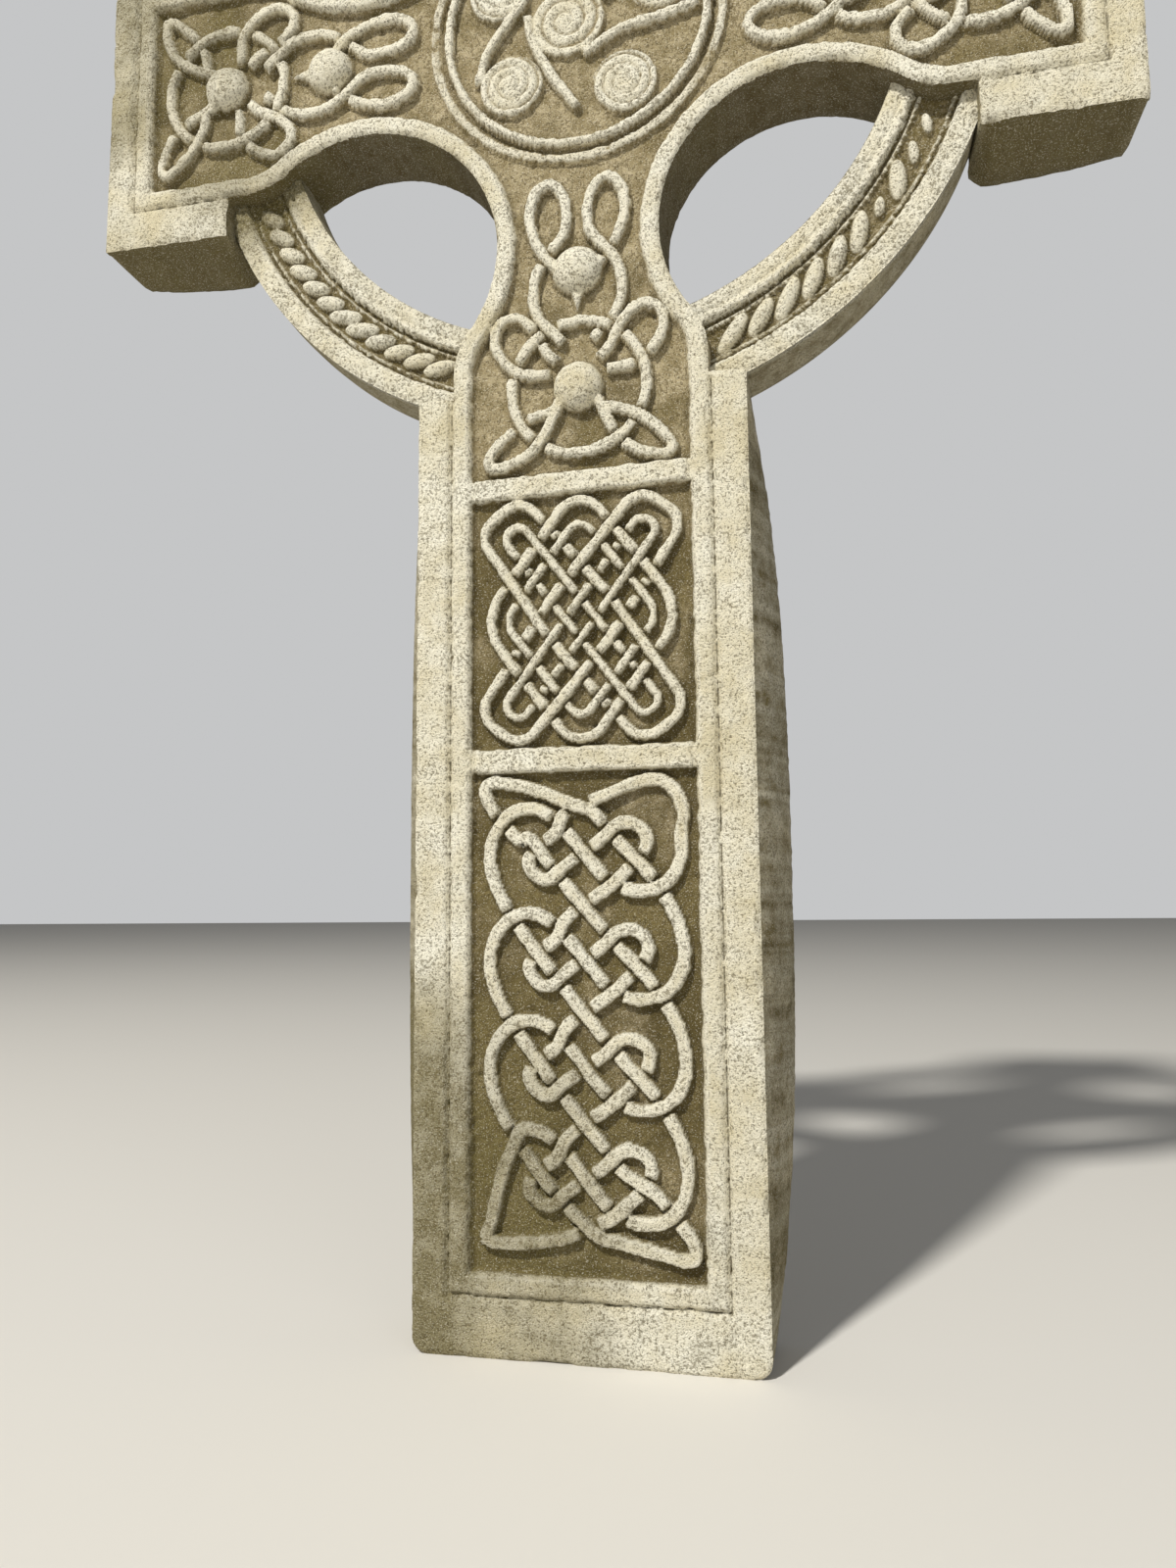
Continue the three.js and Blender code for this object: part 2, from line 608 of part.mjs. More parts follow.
// The two edges of a ribbon along a path, mitred at its bends.
// An inner edge that would fold back is drawn together.
function ribbonEdges({ points, closed, width }) {
  const count = points.length;
  const centres = points.map(([x, z]) => new THREE.Vector2(x, z));
  const heading = (i, j) => centres[j].clone().sub(centres[i]).normalize();
  const edges = [1, -1].map((side) => centres.map((centre, i) => {
    const first = !closed && i === 0;
    const last = !closed && i === count - 1;
    const before = heading(first ? 0 : (i + count - 1) % count, first ? 1 : i);
    const after = last ? before : heading(i, (i + 1) % count);
    const lean = before.clone().add(after).normalize();
    const length = (side * width) / 2 / Math.max(MITRE_LIMIT, lean.dot(before));
    return new THREE.Vector2(centre.x - lean.y * length, centre.y + lean.x * length);
  }));
  for (const edge of edges) {
    for (let i = 0; i < (closed ? count : count - 1); i += 1) {
      const j = (i + 1) % count;
      const step = centres[j].clone().sub(centres[i]);
      if (edge[j].clone().sub(edge[i]).dot(step) > 0) continue;
      const middle = edge[i].clone().add(edge[j]).multiplyScalar(0.5);
      edge[i].copy(middle);
      edge[j].copy(middle);
    }
  }
  return centres.map((centre, i) => ({ centre, edges: edges.map((edge) => edge[i]) }));
}

// A raised rib along a path, wider at its root than at its crest.
// It is made in short lengths that share their end faces.
function rib(run) {
  const root = PANEL_DEPTH + STRAND_ROOT;
  const sections = ribbonEdges(run).map(({ centre, edges: [left, right] }) => {
    const crest = (edge) => centre.clone().lerp(edge, STRAND_CREST);
    return [[left, root], [right, root], [crest(right), STRAND_SINK], [crest(left), STRAND_SINK]]
      .flatMap(([point, depth]) => [point.x, frontY + depth, point.y]);
  });
  if (run.closed) sections.push(sections[0]);
  const lengths = [];
  for (let first = 0; first + 1 < sections.length; first += RIB_SPANS) {
    const part = sections.slice(first, first + RIB_SPANS + 1);
    const triangles = [];
    for (let i = 0; i + 1 < part.length; i += 1) {
      for (let k = 0; k < 4; k += 1) {
        const [a, b] = [i * 4 + k, i * 4 + ((k + 1) % 4)];
        triangles.push(a, a + 4, b + 4, a, b + 4, b);
      }
    }
    const end = (part.length - 1) * 4;
    triangles.push(0, 1, 2, 0, 2, 3, end, end + 2, end + 1, end, end + 3, end + 2);
    lengths.push(solidFrom(part.flat(), triangles));
  }
  return joined(lengths);
}

const ribs = (strands) => joined(weave(strands).map(rib));

// A closed path through corners [x, z, radius], each corner rounded by its radius.
function roundedLoop(corners) {
  const count = corners.length;
  return corners.flatMap(([x, z, radius], i) => {
    const [px, pz] = corners[(i + count - 1) % count];
    const [nx, nz] = corners[(i + 1) % count];
    const from = new THREE.Vector2(px - x, pz - z).normalize();
    const to = new THREE.Vector2(nx - x, nz - z).normalize();
    const half = Math.acos(THREE.MathUtils.clamp(from.dot(to), -1, 1)) / 2;
    const middle = from.clone().add(to).normalize().multiplyScalar(radius / Math.sin(half));
    const start = from.clone().multiplyScalar(radius / Math.tan(half)).sub(middle);
    const end = to.clone().multiplyScalar(radius / Math.tan(half)).sub(middle);
    const first = start.angle();
    const turn = Math.atan2(start.cross(end), start.dot(end));
    const steps = Math.max(2, Math.ceil(Math.abs(turn) / CORNER_STEP));
    return Array.from({ length: steps + 1 }, (_, k) => {
      const [ax, az] = polar(radius, first + (turn * k) / steps);
      return [x + middle.x + ax, z + middle.y + az];
    });
  });
}

// Knotwork

// Lowest panel: two long strands that hook round each other four times on the way up.
function chainStrands() {
  const bottom = FOOT_BAND + MOULDING + CHAIN_FOOT_MARGIN;
  const top = LOWER_BAR_HEIGHT - CHAIN_TOP_MARGIN;
  const pitch = (top - bottom) / (CHAIN_UNITS - 1);
  const across = panelHalf * CURVE_STEP;
  const up = pitch / CHAIN_PITCH_STEPS;
  const place = (points, unit) => points.map(([x, z]) => [x * across, top - unit * pitch + z * up]);
  const flipped = (points) => [...points].reverse();
  const units = Array.from({ length: CHAIN_UNITS }, (_, i) => CHAIN_UNITS - 1 - i);
  const last = CHAIN_UNITS - 1;
  // The lowest hook's first point is left out, because the strand comes in from the corner there.
  const inner = [
    ...units.flatMap((unit) => place(CHAIN_HOOKS, unit)).slice(1),
    ...place(CHAIN_TOP_RIGHT, 0),
    ...place(CHAIN_SIDE.slice(CHAIN_SIDE_TURN), 0),
    ...place(CHAIN_DIAGONAL, 0),
    ...place(CHAIN_SIDE.slice(0, CHAIN_SIDE_ARCH), last),
    ...place(CHAIN_BOTTOM_LEFT, last),
  ];
  const outer = [
    ...place(CHAIN_TOP_LEFT, 0),
    ...place(CHAIN_DIAGONAL.slice(1), -1),
    ...place(CHAIN_SIDE, 2),
    ...place(CHAIN_DIAGONAL.slice(0, 3), 2),
    ...place(CHAIN_BOTTOM_RIGHT, last),
    ...flipped(place(CHAIN_DIAGONAL, 1)),
    ...flipped(place(CHAIN_SIDE, 1)),
    ...flipped(place(CHAIN_DIAGONAL.slice(5), -2)),
    ...place(CHAIN_TOP_MIDDLE, 0),
  ];
  return [inner, outer].map((points) => ({ path: smooth(points, true), closed: true, width: STRAND_WIDTH }));
}

// Middle panel: two diamonds plaited with two pairs of long loops laid crosswise.
function plaitStrands() {
  const low = LOWER_BAR_HEIGHT + LOWER_BAR_WIDTH;
  const middle = (low + UPPER_BAR_HEIGHT) / 2;
  const scale = ((UPPER_BAR_HEIGHT - low) / 2) * PLAIT_STEP;
  const place = (points) => points.map(([x, z]) => [x * scale, middle + z * scale]);
  const strands = PLAIT_DIAMONDS.map(({ reach, topRadius, sideRadius, width }) => {
    const corners = [
      [0, -reach, topRadius],
      [reach / PLAIT_SLOPE, 0, sideRadius],
      [0, reach, topRadius],
      [-reach / PLAIT_SLOPE, 0, sideRadius],
    ];
    return { path: place(roundedLoop(corners)), closed: true, width };
  });
  for (const side of [1, -1]) {
    const lean = Math.atan(PLAIT_SLOPE * side) + (side < 0 ? Math.PI : 0);
    const [cos, sin] = polar(1, lean);
    for (const { reach, end, waist, radius, width } of PLAIT_LOOPS) {
      const corners = [
        [-reach, -end, radius],
        [0, -waist, reach],
        [reach, -end, radius],
        [reach, end, radius],
        [0, waist, reach],
        [-reach, end, radius],
      ];
      const path = roundedLoop(corners).map(([s, w]) => [s * cos - w * sin, s * sin + w * cos]);
      strands.push({ path: place(path), closed: true, width });
    }
  }
  return strands;
}

// Boss knot of one limb. `out` points from the crossing along the limb.
// `reach` is how far out its middle lies.
function bossKnot(out, reach) {
  const [ox, oz] = out;
  const step = panelHalf * CURVE_STEP;
  const place = ([u, v]) => [ox * (reach - v) - oz * u, CENTRE_HEIGHT + oz * (reach - v) + ox * u];
  const ring = arc(0, 0, KNOT_RING, 0, 2 * Math.PI, KNOT_RING_STEPS).slice(0, -1).map(place);
  const strands = [{ path: ring, closed: true, width: KNOT_STRAND_WIDTH }];
  for (const side of [1, -1]) {
    for (const curve of [NEAR_LOOP, FAR_LOOP, EAR_LOOP]) {
      const points = curve.map(([u, v]) => place([u * side * step, v * step]));
      strands.push({ path: smooth(points, false), closed: false, width: KNOT_STRAND_WIDTH });
    }
  }
  const solids = [ribs(strands)];
  for (const v of [0, BOSS_SPACING]) {
    const boss = new THREE.SphereGeometry(1, BOSS_SIDES, BOSS_RINGS);
    boss.scale(BOSS_RADIUS, BOSS_HEIGHT, BOSS_RADIUS);
    const [x, z] = place([0, v]);
    boss.translate(x, frontY + PANEL_DEPTH, z);
    solids.push(solidOf(boss));
  }
  const beak = [
    [-BEAK_WIDTH / 2, BOSS_SPACING - BEAK_ROOT],
    [0, BOSS_SPACING - BEAK_LENGTH],
    [BEAK_WIDTH / 2, BOSS_SPACING - BEAK_ROOT],
  ].map(place);
  const area = THREE.ShapeUtils.area(beak.map(([x, z]) => new THREE.Vector2(x, z)));
  if (area < 0) beak.reverse();
  solids.push(slab(beak, STRAND_SINK, PANEL_DEPTH + STRAND_ROOT));
  return joined(solids);
}

// Roundel

function spiral(cx, cz, radius, first, turns) {
  const steps = Math.round(turns * SPIRAL_SIDES);
  const start = radius - FINE_STRAND_WIDTH / 2;
  return Array.from({ length: steps + 1 }, (_, i) => {
    const t = i / steps;
    const [x, z] = polar(start + (SPIRAL_EYE - start) * t, first + turns * 2 * Math.PI * t);
    return [cx + x, cz + z];
  });
}

function roundel() {
  const cz = CENTRE_HEIGHT + ROUNDEL_RISE;
  const coil = (points) => rib({ points, closed: false, width: FINE_STRAND_WIDTH });
  const rimOf = (radius, steps) => {
    const points = arc(0, cz, radius, 0, 2 * Math.PI, steps).slice(0, -1);
    return rib({ points, closed: true, width: ROUNDEL_RIM });
  };
  const solids = [ROUNDEL_RADIUS, ROUNDEL_OUTER_RIDGE].map((radius) => rimOf(radius, ROUNDEL_SIDES));
  solids.push(coil(spiral(-CENTRAL_SPIRAL_SHIFT, cz, CENTRAL_SPIRAL_RADIUS, 0, SPIRAL_TURNS)));
  for (const angle of SPIRAL_ANGLES.map(radians)) {
    const [x, z] = polar(SPIRAL_ORBIT, angle);
    solids.push(coil(spiral(x, cz + z, SPIRAL_RADIUS, angle, SPIRAL_TURNS)));
  }
  for (const tie of ROUNDEL_TIES) solids.push(coil(tie.map(([x, z]) => [x, cz + z])));
  return joined(solids);
}

// The casting

function celticCross() {
  const ground = joined([crossBody(), ringHoop()]).subtract(panelPocket()).subtract(grooves());
  const knotReach = armReach - END_BAND - MOULDING - KNOT_FROM_EDGE;
  const shaftKnotReach = CENTRE_HEIGHT - UPPER_BAR_HEIGHT - UPPER_BAR_WIDTH - KNOT_FROM_EDGE;
  return joined([
    ground,
    ropes(),
    crossBar(LOWER_BAR_HEIGHT, LOWER_BAR_WIDTH, 0),
    crossBar(UPPER_BAR_HEIGHT, UPPER_BAR_WIDTH, UPPER_BAR_SLOPE),
    ribs(chainStrands()),
    ribs(plaitStrands()),
    bossKnot([0, -1], shaftKnotReach),
    bossKnot([0, 1], knotReach),
    bossKnot([1, 0], knotReach),
    bossKnot([-1, 0], knotReach),
    roundel(),
  ]);
}

const cross = new THREE.Group();
const mesh = new THREE.Mesh(geometryOf(celticCross()), stone);
mesh.name = 'celtic_cross';
cross.add(mesh);

export default cross;
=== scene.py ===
# Celtic ring cross, a garden gravestone in cast stone: its carved surface, weathering, light and camera.
import math

import bpy
import numpy as np
from mathutils import Matrix, Vector
from mathutils.geometry import tessellate_polygon


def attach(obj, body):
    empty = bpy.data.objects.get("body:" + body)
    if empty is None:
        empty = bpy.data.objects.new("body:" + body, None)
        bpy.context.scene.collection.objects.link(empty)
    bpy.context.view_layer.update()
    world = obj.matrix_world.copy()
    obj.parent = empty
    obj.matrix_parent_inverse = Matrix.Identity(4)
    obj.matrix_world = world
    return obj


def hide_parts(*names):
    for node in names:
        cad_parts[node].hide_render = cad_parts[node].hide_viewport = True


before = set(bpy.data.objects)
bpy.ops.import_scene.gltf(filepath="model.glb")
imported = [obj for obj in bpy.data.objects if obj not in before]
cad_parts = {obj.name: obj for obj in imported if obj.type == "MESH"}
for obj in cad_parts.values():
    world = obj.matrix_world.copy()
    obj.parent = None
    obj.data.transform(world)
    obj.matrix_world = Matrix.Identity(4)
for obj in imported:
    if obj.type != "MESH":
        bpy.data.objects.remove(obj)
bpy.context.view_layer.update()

# Sizes in millimetres, the same as the solid's; MM turns them into scene units
MM = 0.001
SPAN = 340.0
THICKNESS = 28.0
CENTRE_HEIGHT = 416.0
TOP_REACH = 170.0
SHAFT_WIDTH = 105.0
ARM_WIDTH = 111.0
FOOT_CORNER = 5.0
BACK_ROUNDING = 3.0
SHAFT_BULGE = 8.8
LIMB_BULGE = 5.0
PIT_BULGE = 0.5
BULGE_NEAR_SHARE = 0.7
BULGE_NEAR_DEPTH = 0.45
BULGE_FULL_DEPTH = 0.8
FRAME_HALF = 41.0
MOULDING = 7.0
MOULDING_BEVEL = 1.8
END_BAND = 10.5
FOOT_BAND = 17.5
GROOVE_WIDTH = 1.4
GROOVE_DEPTH = 1.5
PANEL_DEPTH = 3.4
PIT_OFFSET = 73.2
PIT_RADIUS = 46.7
PIT_FILLET = 24.0
RING_OUTER = 133.5
RING_INNER = 104.5
RING_SETBACK = 5.0
RING_BACK_GAP = 2.5
RING_INNER_BORDER = 8.0
RING_OUTER_BORDER = 7.5
RING_CHANNEL_DEPTH = 3.0
ROPE_LOBES_LEFT = 12
ROPE_LOBES_RIGHT = 10
ROPE_LOBE_STRETCH = 1.4
ROPE_LOBE_WIDTH = 5.6
ROPE_TWIST = math.radians(32)
ROPE_CLEARANCE = 3.0
SHOULDER_GAP = 0.8
BAR_SINK = 0.2
LOWER_BAR_HEIGHT = 170.3
LOWER_BAR_WIDTH = 8.2
UPPER_BAR_HEIGHT = 257.6
UPPER_BAR_WIDTH = 7.8
UPPER_BAR_SLOPE = 0.022
STRAND_WIDTH = 4.4
KNOT_STRAND_WIDTH = 3.7
FINE_STRAND_WIDTH = 3.2
STRAND_SINK = 0.5
SMOOTH_STEPS = 8
CURVE_STEP = 1 / 33.5
KNOT_FROM_EDGE = 27.3
KNOT_RING = 21.7
BOSS_RADIUS = 8.3
BOSS_HEIGHT = 6.6
BOSS_SPACING = 38.8
BEAK_LENGTH = 15.0
BEAK_WIDTH = 6.0
BEAK_ROOT = 6.6
CHAIN_UNITS = 4
CHAIN_TOP_MARGIN = 24.4
CHAIN_FOOT_MARGIN = 26.4
CHAIN_PITCH_STEPS = 31.7
CHAIN_SIDE_TURN = 3
CHAIN_SIDE_ARCH = 15
PLAIT_STEP = 1 / 39.5
PLAIT_SLOPE = 4 / 3
PLAIT_OUTER_WIDTH = 3.4
PLAIT_INNER_WIDTH = 2.6
ROUNDEL_RISE = 3.0
ROUNDEL_RADIUS = 43.4
ROUNDEL_RIM = 2.8
ROUNDEL_OUTER_RIDGE = 48.4
SPIRAL_RADIUS = 11.0
SPIRAL_ORBIT = 29.5
SPIRAL_ANGLES = [18, 84, 150, 222, 303]
CENTRAL_SPIRAL_RADIUS = 13.0
CENTRAL_SPIRAL_SHIFT = 3.0

# Curves of the boss knot in curve steps, [across, towards the crossing] from its middle, right half only
NEAR_LOOP = [
    [7, 9], [10, 12], [12.5, 17], [15.5, 21.5], [19.5, 24.5], [24, 24], [26.7, 20.5], [26.3, 14.5],
    [22, 8.5], [17, 5.5], [9, 5],
]
FAR_LOOP = [
    [8, -7.5], [13.5, -8.5], [19, -11], [24.5, -15.5], [28.5, -20.5], [28.7, -23.3], [25.5, -24],
    [19.5, -22.5], [14, -19], [10.5, -14], [7.5, -8], [6, -4],
]
EAR_LOOP = [
    [5, 15], [8.5, 19], [12.3, 23.5], [14.2, 29.5], [13.8, 36], [11.5, 41.5], [7.5, 46.5], [4, 51.5],
    [3.3, 57.5], [4.5, 64], [8, 68], [12.3, 67], [15, 62], [15.2, 55.5], [13.3, 49], [10.5, 44], [7, 40],
]

# Curves of one unit of the chain in curve steps, [across, up] from the middle of the unit
CHAIN_HOOKS = [
    [-4.5, -19.2], [8, -10.2], [12.5, -6], [17, -1.8], [19.3, 2.8], [18, 6.8], [14.3, 8.8], [10, 8],
    [5.5, 3.8], [-5, -3.5], [-9.5, -7.5], [-13.5, -7.2], [-16.5, -3], [-14.5, 1.8], [-8.5, 5.8],
]
CHAIN_SIDE = [
    [19.5, 25.5], [24, 19], [27.5, 12.5], [29.3, 6], [29.5, 0], [27.5, -6], [23.5, -10], [18, -11.5],
    [13, -11], [8, -8.5], [4, -4.5], [-4, 5.5], [-9, 10.5], [-14, 13.5], [-19, 13.5], [-24, 10.5],
    [-27.5, 5], [-28.5, -1], [-27.5, -7], [-25, -13],
]
CHAIN_DIAGONAL = [
    [-21, -20], [-16, -27], [-11, -33.5], [-6, -40], [-2, -45], [3, -51], [8, -57], [12, -61.5],
]
CHAIN_TOP_RIGHT = [[-4.5, 12.5], [8, 17.5], [17, 21], [24, 21], [28.5, 17], [30, 11]]
CHAIN_BOTTOM_LEFT = [
    [-21.5, 8], [-24, 3], [-26, -4], [-28, -13], [-29, -18], [-20, -18.7], [-10, -17.5], [-4.5, -16],
]
CHAIN_TOP_LEFT = [
    [-5, 15.5], [-12, 18.5], [-20, 21], [-27, 22], [-30, 20], [-29, 16], [-26, 11], [-22, 7], [-19, 4],
]
CHAIN_BOTTOM_RIGHT = [
    [2, -14.5], [10, -17], [20, -19], [30, -21], [31, -17], [28, -12], [23, -6], [19, -2],
]
CHAIN_TOP_MIDDLE = [[-1, 14]]

# The plait: [reach, radius at top and foot, radius at the sides, width], [reach, end, waist, radius, width]
PLAIT_DIAMONDS = [[42.7, 8, 15, PLAIT_OUTER_WIDTH], [32.5, 4, 7, PLAIT_INNER_WIDTH]]
PLAIT_LOOPS = [[43, 9, 11.4, 7, PLAIT_OUTER_WIDTH], [36.5, 3.7, 3.9, 3.3, PLAIT_INNER_WIDTH]]

# Strands that tie the spirals together, [x, z] in millimetres from the roundel's middle
ROUNDEL_TIES = [
    [[3, -12.7], [16, -6.2], [28, -4.2], [40, -1.5]],
    [[-16, 3.3], [-15, -4], [-9, -16.7], [0, -30.7]],
    [[-17, 10], [-29, -5.7], [-33, -17]],
    [[-8, 12.3], [-4, 20], [-6.5, 27]],
    [[9, 7.3], [18, 13]],
]

half_shaft = SHAFT_WIDTH / 2
half_arm = ARM_WIDTH / 2
arm_reach = SPAN / 2
height = CENTRE_HEIGHT + TOP_REACH
panel_half = FRAME_HALF - MOULDING
band_start = math.sqrt(RING_OUTER ** 2 - half_shaft ** 2) + SHOULDER_GAP
front_y = -(THICKNESS - (BOSS_HEIGHT - PANEL_DEPTH)) / 2
fillet_near = FRAME_HALF - PIT_FILLET
fillet_far = PIT_OFFSET + math.sqrt((PIT_RADIUS + PIT_FILLET) ** 2 - (PIT_OFFSET - fillet_near) ** 2)
fillet_turn = math.atan2(fillet_far - PIT_OFFSET, PIT_OFFSET - fillet_near)
roundel_z = CENTRE_HEIGHT + ROUNDEL_RISE

# Lattice of the carved face, finer on the shaft, in a lower and an upper piece
FINE = 0.6
MIDDLING = 0.78
COARSE = 0.85
SPLIT_HEIGHT = UPPER_BAR_HEIGHT + UPPER_BAR_WIDTH / 2
SEED = 11
OUTSIDE = 20.0  # stands for a place far outside an outline
NOT_CARVED = PANEL_DEPTH * 2  # stands for a place beside a carved form
BORDER_SHALLOWEST = 0.5
BORDER_DEEPEST = 1.9

# Plain cells that are joined in fours keep this far from what is next to them
CLEAR_OF_GROOVE = 1.2
CLEAR_OF_LIP = 1.9
CLEAR_OF_BEVEL = 0.8
CLEAR_OF_EDGE = 4.0

# Section of a strand, how it dives under another, and the short pieces it is stamped in
STRAND_FLAT = 0.74  # share of the half width
STRAND_FOOT = 0.2
STRAND_CROWN = 0.15
DIVE_CLEARANCE = 0.15
DIVE_RUN = 1.5
DIVE_DEPTH = 2.1
STAMP_STEP = 0.3
STAMP_MARGIN = 1.2

# Sections of the other carved forms
BAR_EDGE_IN = 0.9
BAR_EDGE_OUT = 0.4
BAR_SEAM_WIDTH = 0.7
BAR_SEAM_DEPTH = 1.1
BOSS_FOOT = 0.4
BEAK_SINK = 0.9
BEAK_EDGE_IN = 1.2
BEAK_EDGE_OUT = 0.4
COIL_PITCH = 3.2
COIL_RISE = 2.1
CENTRAL_COIL_PITCH = 4.2
CENTRAL_COIL_RISE = 1.9
CENTRAL_COIL_START = 0.3
COIL_GROOVE = 1.1
COIL_GROOVE_WIDTH = 0.17  # share of the pitch
COIL_EYE = (1.0, 2.5)  # the groove fades in between these radii
COIL_DOME = 0.7
COIL_EDGE_IN = 0.8
COIL_EDGE_OUT = 0.3
TIE_SINK = STRAND_SINK + 0.1
OUTER_RIDGE_SINK = STRAND_SINK + 1.1
OUTER_RIDGE_WIDTH = ROUNDEL_RIM + 0.6

# Wear of the carved face
EDGE_WANDER = 1.3  # how far straight edges wander, against strands
BOSS_WANDER = 0.6
BAR_SEAM_WANDER = 2.0
SURFACE_GRAIN = 0.12
BAND_GRAIN = 0.13
PANEL_GRAIN = 0.3
MOULDING_WEAR = 0.45
EDGE_WEAR = 0.8
CHIP_DEPTH = 1.2
POCK_COUNT = 2600
POCK_SMALLEST = 0.4
POCK_LARGEST = 1.0
POCK_DEPTH = 0.55

# Depth, share of the swelling and inset of each layer of the side walls
WALL_LAYERS = [
    (2.6, 0.12, 0.0),
    (7.0, 0.45, 0.0),
    (THICKNESS * BULGE_NEAR_DEPTH, BULGE_NEAR_SHARE, 0.0),
    (THICKNESS * (BULGE_NEAR_DEPTH + BULGE_FULL_DEPTH) / 2, 0.9, 0.0),
    (THICKNESS * BULGE_FULL_DEPTH, 1.0, 0.0),
    (THICKNESS - BACK_ROUNDING / 2, 1.0, BACK_ROUNDING * 0.37),
    (THICKNESS, 1.0, BACK_ROUNDING),
]
UNDERSIDE_START = 20.0  # undersides above this height get painted shade and dirt
WALL_GRAIN = 0.3

# Lattice of one quarter of the ring, its ridges, grooves and rope, and depth and inset of its wall layers
RING_ROWS = 50
RING_COLUMNS = 250
RING_FIRST = math.radians(15)
RING_LAST = math.radians(75)
RING_RIDGE_INSET = 1.6
RING_RIDGE_HEIGHT = 1.3
RING_RIDGE_WIDTH = 0.7
RING_GROOVE_PLACE = 0.62  # share of the inner border
RING_GROOVE_DEPTH = 0.7
RING_GROOVE_WIDTH = 0.6
RING_EDGE_WEAR = 0.7
RING_EDGE_WIDTH = 0.8
ROPE_HEIGHT = 2.9
ROPE_FOOT = 0.1
LOBE_LENGTHS = (1.0, 1.2)  # shares of the usual length
BROKEN_LENGTHS = (0.5, 0.65)
BROKEN_WIDTH = 0.65
BROKEN_HEIGHT = 0.75
BROKEN_LOBES = [6, 8, 9]
CRUMBLED_RUN = 0.32  # radians
RING_BACK = THICKNESS - RING_BACK_GAP
RING_WALL_LAYERS = [(8.5, 0.0), (15.0, -0.2), (21.0, 0.1), (RING_BACK - 1, 0.5), (RING_BACK, 1.7)]

# Quarters of the ring, counted anticlockwise from the upper right
QUARTERS = 4
LOWER_LEFT = 2
LOWER_RIGHT = 3
RIGHT_QUARTERS = (0, LOWER_RIGHT)

# Raised, hollow, moss and sandy shares of the plain walls of the ring and of the back
RING_WALL_MASK = [0.45, 0.5, 0.4, 0.4]
BACK_MASK = [0.5, 0.5, 0.25, 0.4]

# Colours in the 0 to 255 steps of a screen
DULL_CREAM = (222, 212, 180)
BRIGHT_CREAM = (252, 248, 230)
DARK_OLIVE = (92, 81, 48)
LIGHT_OLIVE = (128, 115, 75)
DARK_SAND = (150, 136, 100)
LIGHT_SAND = (190, 176, 142)
# Painted shade with dirt, for recesses, the walls of the openings and the undersides
HOLLOW_SHADE_AND_DIRT = (80, 70, 40)
WORN_CREST = (244, 239, 220)
ALGAE = (118, 108, 66)
# Painted shade in the stone's small pits
PAINTED_PIT_SHADE = (104, 92, 60)
PALE_GRAINS = (242, 237, 220)
DARK_GRAINS = (70, 60, 38)
FLOOR_COLOUR = (222, 219, 212)

# Floor, light and the camera of the photograph: its place, and its right, up and backward directions
FLOOR_HALF = 6.0
WORLD_LIGHT = 0.21
BACKDROP_GLOW = 0.39
LAMP_TARGET = (0, 0, 0.3)
CAMERA_PLACE = (66.84, front_y - 309.72, 132.07)
CAMERA_RIGHT = (0.978709, 0.20503, -0.009583)
CAMERA_UP = (0.031443, -0.103632, 0.994119)
CAMERA_BACK = (0.202831, -0.973254, -0.107872)
FOCAL_PIXELS = 1082.34
PHOTO_HEIGHT = 1600
SENSOR_HEIGHT = 36


# Points from stop to stop, each stretch with its own spacing and an even number of steps.
def lattice(stops, spacings):
    found = [stops[0]]
    for low, high, spacing in zip(stops, stops[1:], spacings):
        count = 2 * math.ceil((high - low) / spacing / 2)
        found += list(np.linspace(low, high, count + 1)[1:])
    return np.array(found)


grid_x = lattice([-arm_reach, -half_shaft - 1, half_shaft + 1, arm_reach], [COARSE, FINE, COARSE])
grid_z = lattice([0, SPLIT_HEIGHT, height], [FINE, MIDDLING])
X, Z = np.meshgrid(grid_x, grid_z)
random = np.random.default_rng(SEED)


def ramp(low, high, value):
    t = np.clip((value - low) / (high - low), 0, 1)
    return t * t * (3 - 2 * t)


# A smooth random field over the lattice, about -1 to 1, whose bumps are `size` millimetres across.
def ripple(size):
    coarse = random.uniform(-1, 1, (int(height / size) + 4, int(SPAN / size) + 4))
    u = (X + arm_reach) / size + 0.5
    v = Z / size + 0.5
    i, j = u.astype(int), v.astype(int)
    fu, fv = ramp(0, 1, u - i), ramp(0, 1, v - j)
    low = coarse[j, i] * (1 - fu) + coarse[j, i + 1] * fu
    high = coarse[j + 1, i] * (1 - fu) + coarse[j + 1, i + 1] * fu
    return low * (1 - fv) + high * fv


# The part of the lattice within `reach` of a place.
def around(x, z, reach):
    columns = slice(np.searchsorted(grid_x, x - reach), np.searchsorted(grid_x, x + reach))
    rows = slice(np.searchsorted(grid_z, z - reach), np.searchsorted(grid_z, z + reach))
    return rows, columns


# Outlines, as signed distances that are negative inside

# The four limbs, which narrow and widen again round the openings.
def limb_distance(x, z):
    ax, az = np.abs(x), np.abs(z - CENTRE_HEIGHT)
    along, across = np.maximum(ax, az), np.minimum(ax, az)
    pit = PIT_RADIUS - np.hypot(ax - PIT_OFFSET, az - PIT_OFFSET)
    fillet = np.hypot(across - fillet_near, along - fillet_far) - PIT_FILLET
    angle = np.arctan2(fillet_far - along, across - fillet_near)
    result = np.where((angle >= 0) & (angle <= fillet_turn), fillet, pit)
    result = np.where(across > PIT_OFFSET, OUTSIDE, result)
    return np.where(along >= fillet_far, across - FRAME_HALF, result)


# The raised moulding, within plain bands at the ends and at the foot.
def moulding_distance(x, z):
    ends = np.maximum(np.abs(x) - (arm_reach - END_BAND), z - (height - END_BAND))
    return np.maximum(np.maximum(limb_distance(x, z), ends), FOOT_BAND - z)


